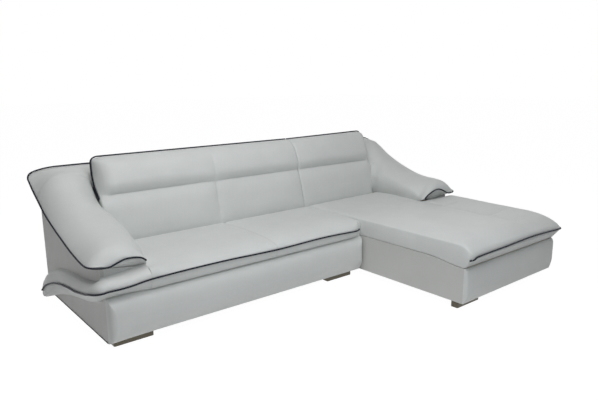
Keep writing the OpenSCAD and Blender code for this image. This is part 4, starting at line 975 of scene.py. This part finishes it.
def back_cushion(name, x0, x1, joint, rise, stands_for, body):
    """Back cushion from the seam at x0 to its free end at x1, sewn down at joint."""
    left, right = min(x0, x1), max(x0, x1)
    panels = [(left, right)] if joint is None else [(left, joint), (joint, right)]
    xs = spread(left, right, 14, [left, right] + ([joint] if joint else []), 30)
    rings = []
    for x in xs:
        a, b = panels[0] if x <= panels[0][1] else panels[-1]
        u = 2 * (x - a) / (b - a) - 1
        fill, sewn = BACK_SWELL * (1 - u ** 4), 8 * dip(x - joint, SEWN_W) if joint else 0
        close, tight = 1 - rounding(abs(x - x1) / 75), 1 - rounding(abs(x - x0) / 25)
        rings.append(back_ring(x, fill, sewn, close, tight, rise * abs(x - x0) / (right - left),
                               max(0, 1 - abs(x - x0) / SLANT_REACH)))
    grid = smooth(rings, BACK_EDGES, 13)
    ob = dress(grid_object(name, grid, LEATHER), body, "leather", stands_for, fill=0.85)
    puff(ob, lambda x, y, z: (SEAT_H + 18 < z < BACK_H - 12 and y < end_line(z) - 20
                              and left + 22 < x < right - 30 and abs(z - CREASE_H) > 9
                              and (not joint or z > CREASE_H or abs(x - joint) > 6)), SOFT_SWELL)
    # painted shade in the crease under the head roll and down the sewn joint
    lines = [[(x, back_face(CREASE_H), CREASE_H) for x in xs]]
    if joint:
        lines.append([(joint, back_face(z) + 8, z)
                      for z in np.arange(SEAT_H + 8, CREASE_H - 10, 4)])
    paint_seam_shade(ob, lines, 6)
    return ob


back_cushion("sofa_back_pillow", XS, BACK_INSET, SEAT_SEAM, 0, "sofa_back_cushion", "sofa")
back_cushion("chaise_back_pillow", XC, TOTAL_W - CHAISE_INSET, None, BACK_RISE,
             "chaise_back_cushion", "chaise")


def back_line(x0, x1, out, rise):
    """The cord along a back cushion's top and down its free end."""
    d = CORD_OUT * 0.71
    pts = [(x - BACK_SLANT * max(0, 1 - abs(x - x0) / SLANT_REACH), EDGE_Y + d, EDGE_Z + d)
           for x in np.linspace(x0, x1 - out * 60, 12)]
    pts += [(x1 - out * 34, EDGE_Y + d, EDGE_Z + d), (x1 - out * 16, EDGE_Y + d, EDGE_Z + d - 4),
            (x1 - out * 1, EDGE_Y + d, EDGE_Z - 11)]
    pts += [(x1 + out * CORD_OUT, end_line(z) - 5, z)
            for z in np.arange(BACK_H - 32, CREASE_H - 33, -10)]
    pts = [(p[0], p[1], lifted(p[2], rise * (p[0] - x0) / (x1 - x0))) for p in pts]
    return even(rounded(dense(pts, 6), 4), 6)


for body, line in (("sofa", back_line(XS - 3, BACK_INSET, -1, 0)),
                   ("chaise", back_line(XC + 3, TOTAL_W - CHAISE_INSET, 1, BACK_RISE))):
    dress(cord_object(body + "_back_cord", line, CORD_R, PIPING), body, "piping",
          body + "_back_piping")

# ---------------------------------------------------------------- base fronts
# share of the bulge by height, along the front and at its left end
FULL = [[0, 0.03], [0.06, 0.2], [0.29, 0.8], [0.5, 0.97], [0.68, 1], [0.86, 0.84], [0.96, 0.5],
        [1, 0.1]]
UPRIGHT = [[0, 0.12], [0.05, 0.55], [0.14, 0.86], [0.3, 0.97], [0.68, 1], [0.86, 0.84], [0.96, 0.5],
           [1, 0.1]]


def base_front(name, x0, x1, y, bulge, ra, rb, top, stands_for, body):
    """Bulging front, fuller low down near x0, whose corners turn back with radius ra and rb."""
    h = top - RAIL_BOTTOM
    xs = spread(x0, x1, 16, (x0, x1), max(ra, rb, 8) * 1.2, 3)
    rings = []
    for x in xs:
        back = 1.0
        if x - x0 < ra:
            back = (bulge - ra + ra * rounding((x - x0) / ra)) / bulge
        if x1 - x < rb:
            back = min(back, (bulge - rb + rb * rounding((x1 - x) / rb)) / bulge)
        near = dip(x - x0, 150)
        front = [(x, y - bulge * min(blend(curve(FULL, t), curve(UPRIGHT, t), near), back),
                  RAIL_BOTTOM + h * t)
                 for t in np.linspace(0, 1, 25)]
        rings.append(front + [(x, y - 0.02, top + 0.8), (x, y - 0.02, RAIL_BOTTOM)])
    return dress(grid_object(name, np.array(rings), LEATHER, angle=40), body, "leather", stands_for)


base_front("sofa_front_cover", 0, XS, 0, 60, 34, 58, BASE_TOP, "sofa_base_front", "sofa")
base_front("chaise_front_cover", XC, TOTAL_W, CHAISE_FRONT, 24, 22, 22, top_at(CHAISE_FRONT),
           "chaise_base_front", "chaise")

# a thin dark cord along the bottom edge of each side of the base, in the dust cover's material
for side, body, start, flip in (("left", "sofa", 4, False),
                                ("right", "chaise", CHAISE_FRONT + 4, True)):
    welt = [(-0.8, y, RAIL_BOTTOM + 1) for y in np.linspace(start, BODY_D - 3, 60)]
    dress(cord_object(side + "_base_dark_edge", welt, DARK_EDGE_R, DUST, flip), body, "dust_cover")

# ---------------------------------------------------------------- floor, light, camera
def background_rays(nt):
    """1 on the rays that see the background itself, straight or through metal and glass."""
    path = add(nt, "ShaderNodeLightPath")
    direct = add(nt, "ShaderNodeMath", operation="MAXIMUM")
    nt.links.new(path.outputs["Is Camera Ray"], direct.inputs[0])
    nt.links.new(path.outputs["Is Glossy Ray"], direct.inputs[1])
    seen = add(nt, "ShaderNodeMath", operation="MAXIMUM")
    nt.links.new(direct.outputs[0], seen.inputs[0])
    nt.links.new(path.outputs["Is Transmission Ray"], seen.inputs[1])
    return seen.outputs[0]


def mixed(nt, output, factor, plain, white):
    """Mixes two shaders by factor, on the tree's output."""
    n = add(nt, "ShaderNodeMixShader")
    nt.links.new(factor, n.inputs[0])
    nt.links.new(plain.outputs[0], n.inputs[1])
    nt.links.new(white.outputs[0], n.inputs[2])
    nt.links.new(n.outputs[0], add(nt, output).inputs[0])


WHITE, FLOOR_TONE, FLOOR_GLOW, FLOOR_WHITE = (1, 1, 1, 1), (0.86, 0.86, 0.86, 1), 1.095, 0.9
ROOM_TONE, ROOM_LIGHT = (0.95, 0.98, 1.0, 1), 0.11

bpy.ops.mesh.primitive_plane_add(size=60)
floor = bpy.context.object
floor.name = "floor"
pale, tree = new_material("floor_pale")
share = add(tree, "ShaderNodeMath", operation="MULTIPLY")
share.inputs[1].default_value = FLOOR_WHITE  # the rest keeps the shadow
tree.links.new(background_rays(tree), share.inputs[0])
mixed(tree, "ShaderNodeOutputMaterial", share.outputs[0],
      add(tree, "ShaderNodeBsdfDiffuse", in_Color=FLOOR_TONE),
      add(tree, "ShaderNodeEmission", in_Color=WHITE, in_Strength=FLOOR_GLOW))
floor.data.materials.append(pale)

studio = bpy.data.worlds.new("studio")
bpy.context.scene.world = studio
studio.use_nodes = True
tree = studio.node_tree
tree.nodes.clear()
mixed(tree, "ShaderNodeOutputWorld", background_rays(tree),
      add(tree, "ShaderNodeBackground", in_Color=ROOM_TONE, in_Strength=ROOM_LIGHT),
      add(tree, "ShaderNodeBackground", in_Color=WHITE, in_Strength=1.0))


def lamp(name, place, aim, size, power, colour=(1, 1, 1)):
    data = bpy.data.lights.new(name, "AREA")
    data.shape = "RECTANGLE"
    data.size, data.size_y = size
    data.energy = power
    data.color = colour
    ob = bpy.data.objects.new(name, data)
    bpy.context.scene.collection.objects.link(ob)
    ob.location = place
    ob.rotation_mode = "QUATERNION"
    ob.rotation_quaternion = (Vector(aim) - Vector(place)).to_track_quat("-Z", "Y")


lamp("key", (-0.75, -0.95, 3.2), (-0.1, -0.05, 0.3), (3.3, 2.2), 56.5)
lamp("inner", (-0.45, -1.75, 2.0), (-0.1, 0.2, 0.4), (1.5, 0.8), 8, (0.86, 0.94, 1.0))
lamp("fill", (-2.2, -3.3, 1.2), (-0.9, 0.0, 0.3), (2.2, 1.2), 9)

# the photo's camera, worked out from the straight edges of the base
EYE = (-2.249, -2.60235, 1.313)
LENS_PIXELS, IMAGE_W, SENSOR_W = 568.3, 598, 36.0
cam_data = bpy.data.cameras.new("camera")
cam = bpy.data.objects.new("camera", cam_data)
bpy.context.scene.collection.objects.link(cam)
yaw, pitch, roll = math.radians(39.32), math.radians(12.20), math.radians(-0.42283)
fwd = Vector((math.sin(yaw) * math.cos(pitch), math.cos(yaw) * math.cos(pitch), -math.sin(pitch)))
right0 = Vector((math.cos(yaw), -math.sin(yaw), 0))
up0 = right0.cross(fwd)
right1 = math.cos(roll) * right0 + math.sin(roll) * up0
up1 = -math.sin(roll) * right0 + math.cos(roll) * up0
turn = Matrix((right1, up1, -fwd)).transposed().to_4x4()
cam.matrix_world = Matrix.Translation(EYE) @ turn
cam_data.sensor_width = SENSOR_W
cam_data.lens = LENS_PIXELS / IMAGE_W * SENSOR_W
cam_data.clip_start, cam_data.clip_end = 0.1, 100
bpy.context.scene.camera = cam
bpy.context.scene.view_settings.view_transform = "Standard"
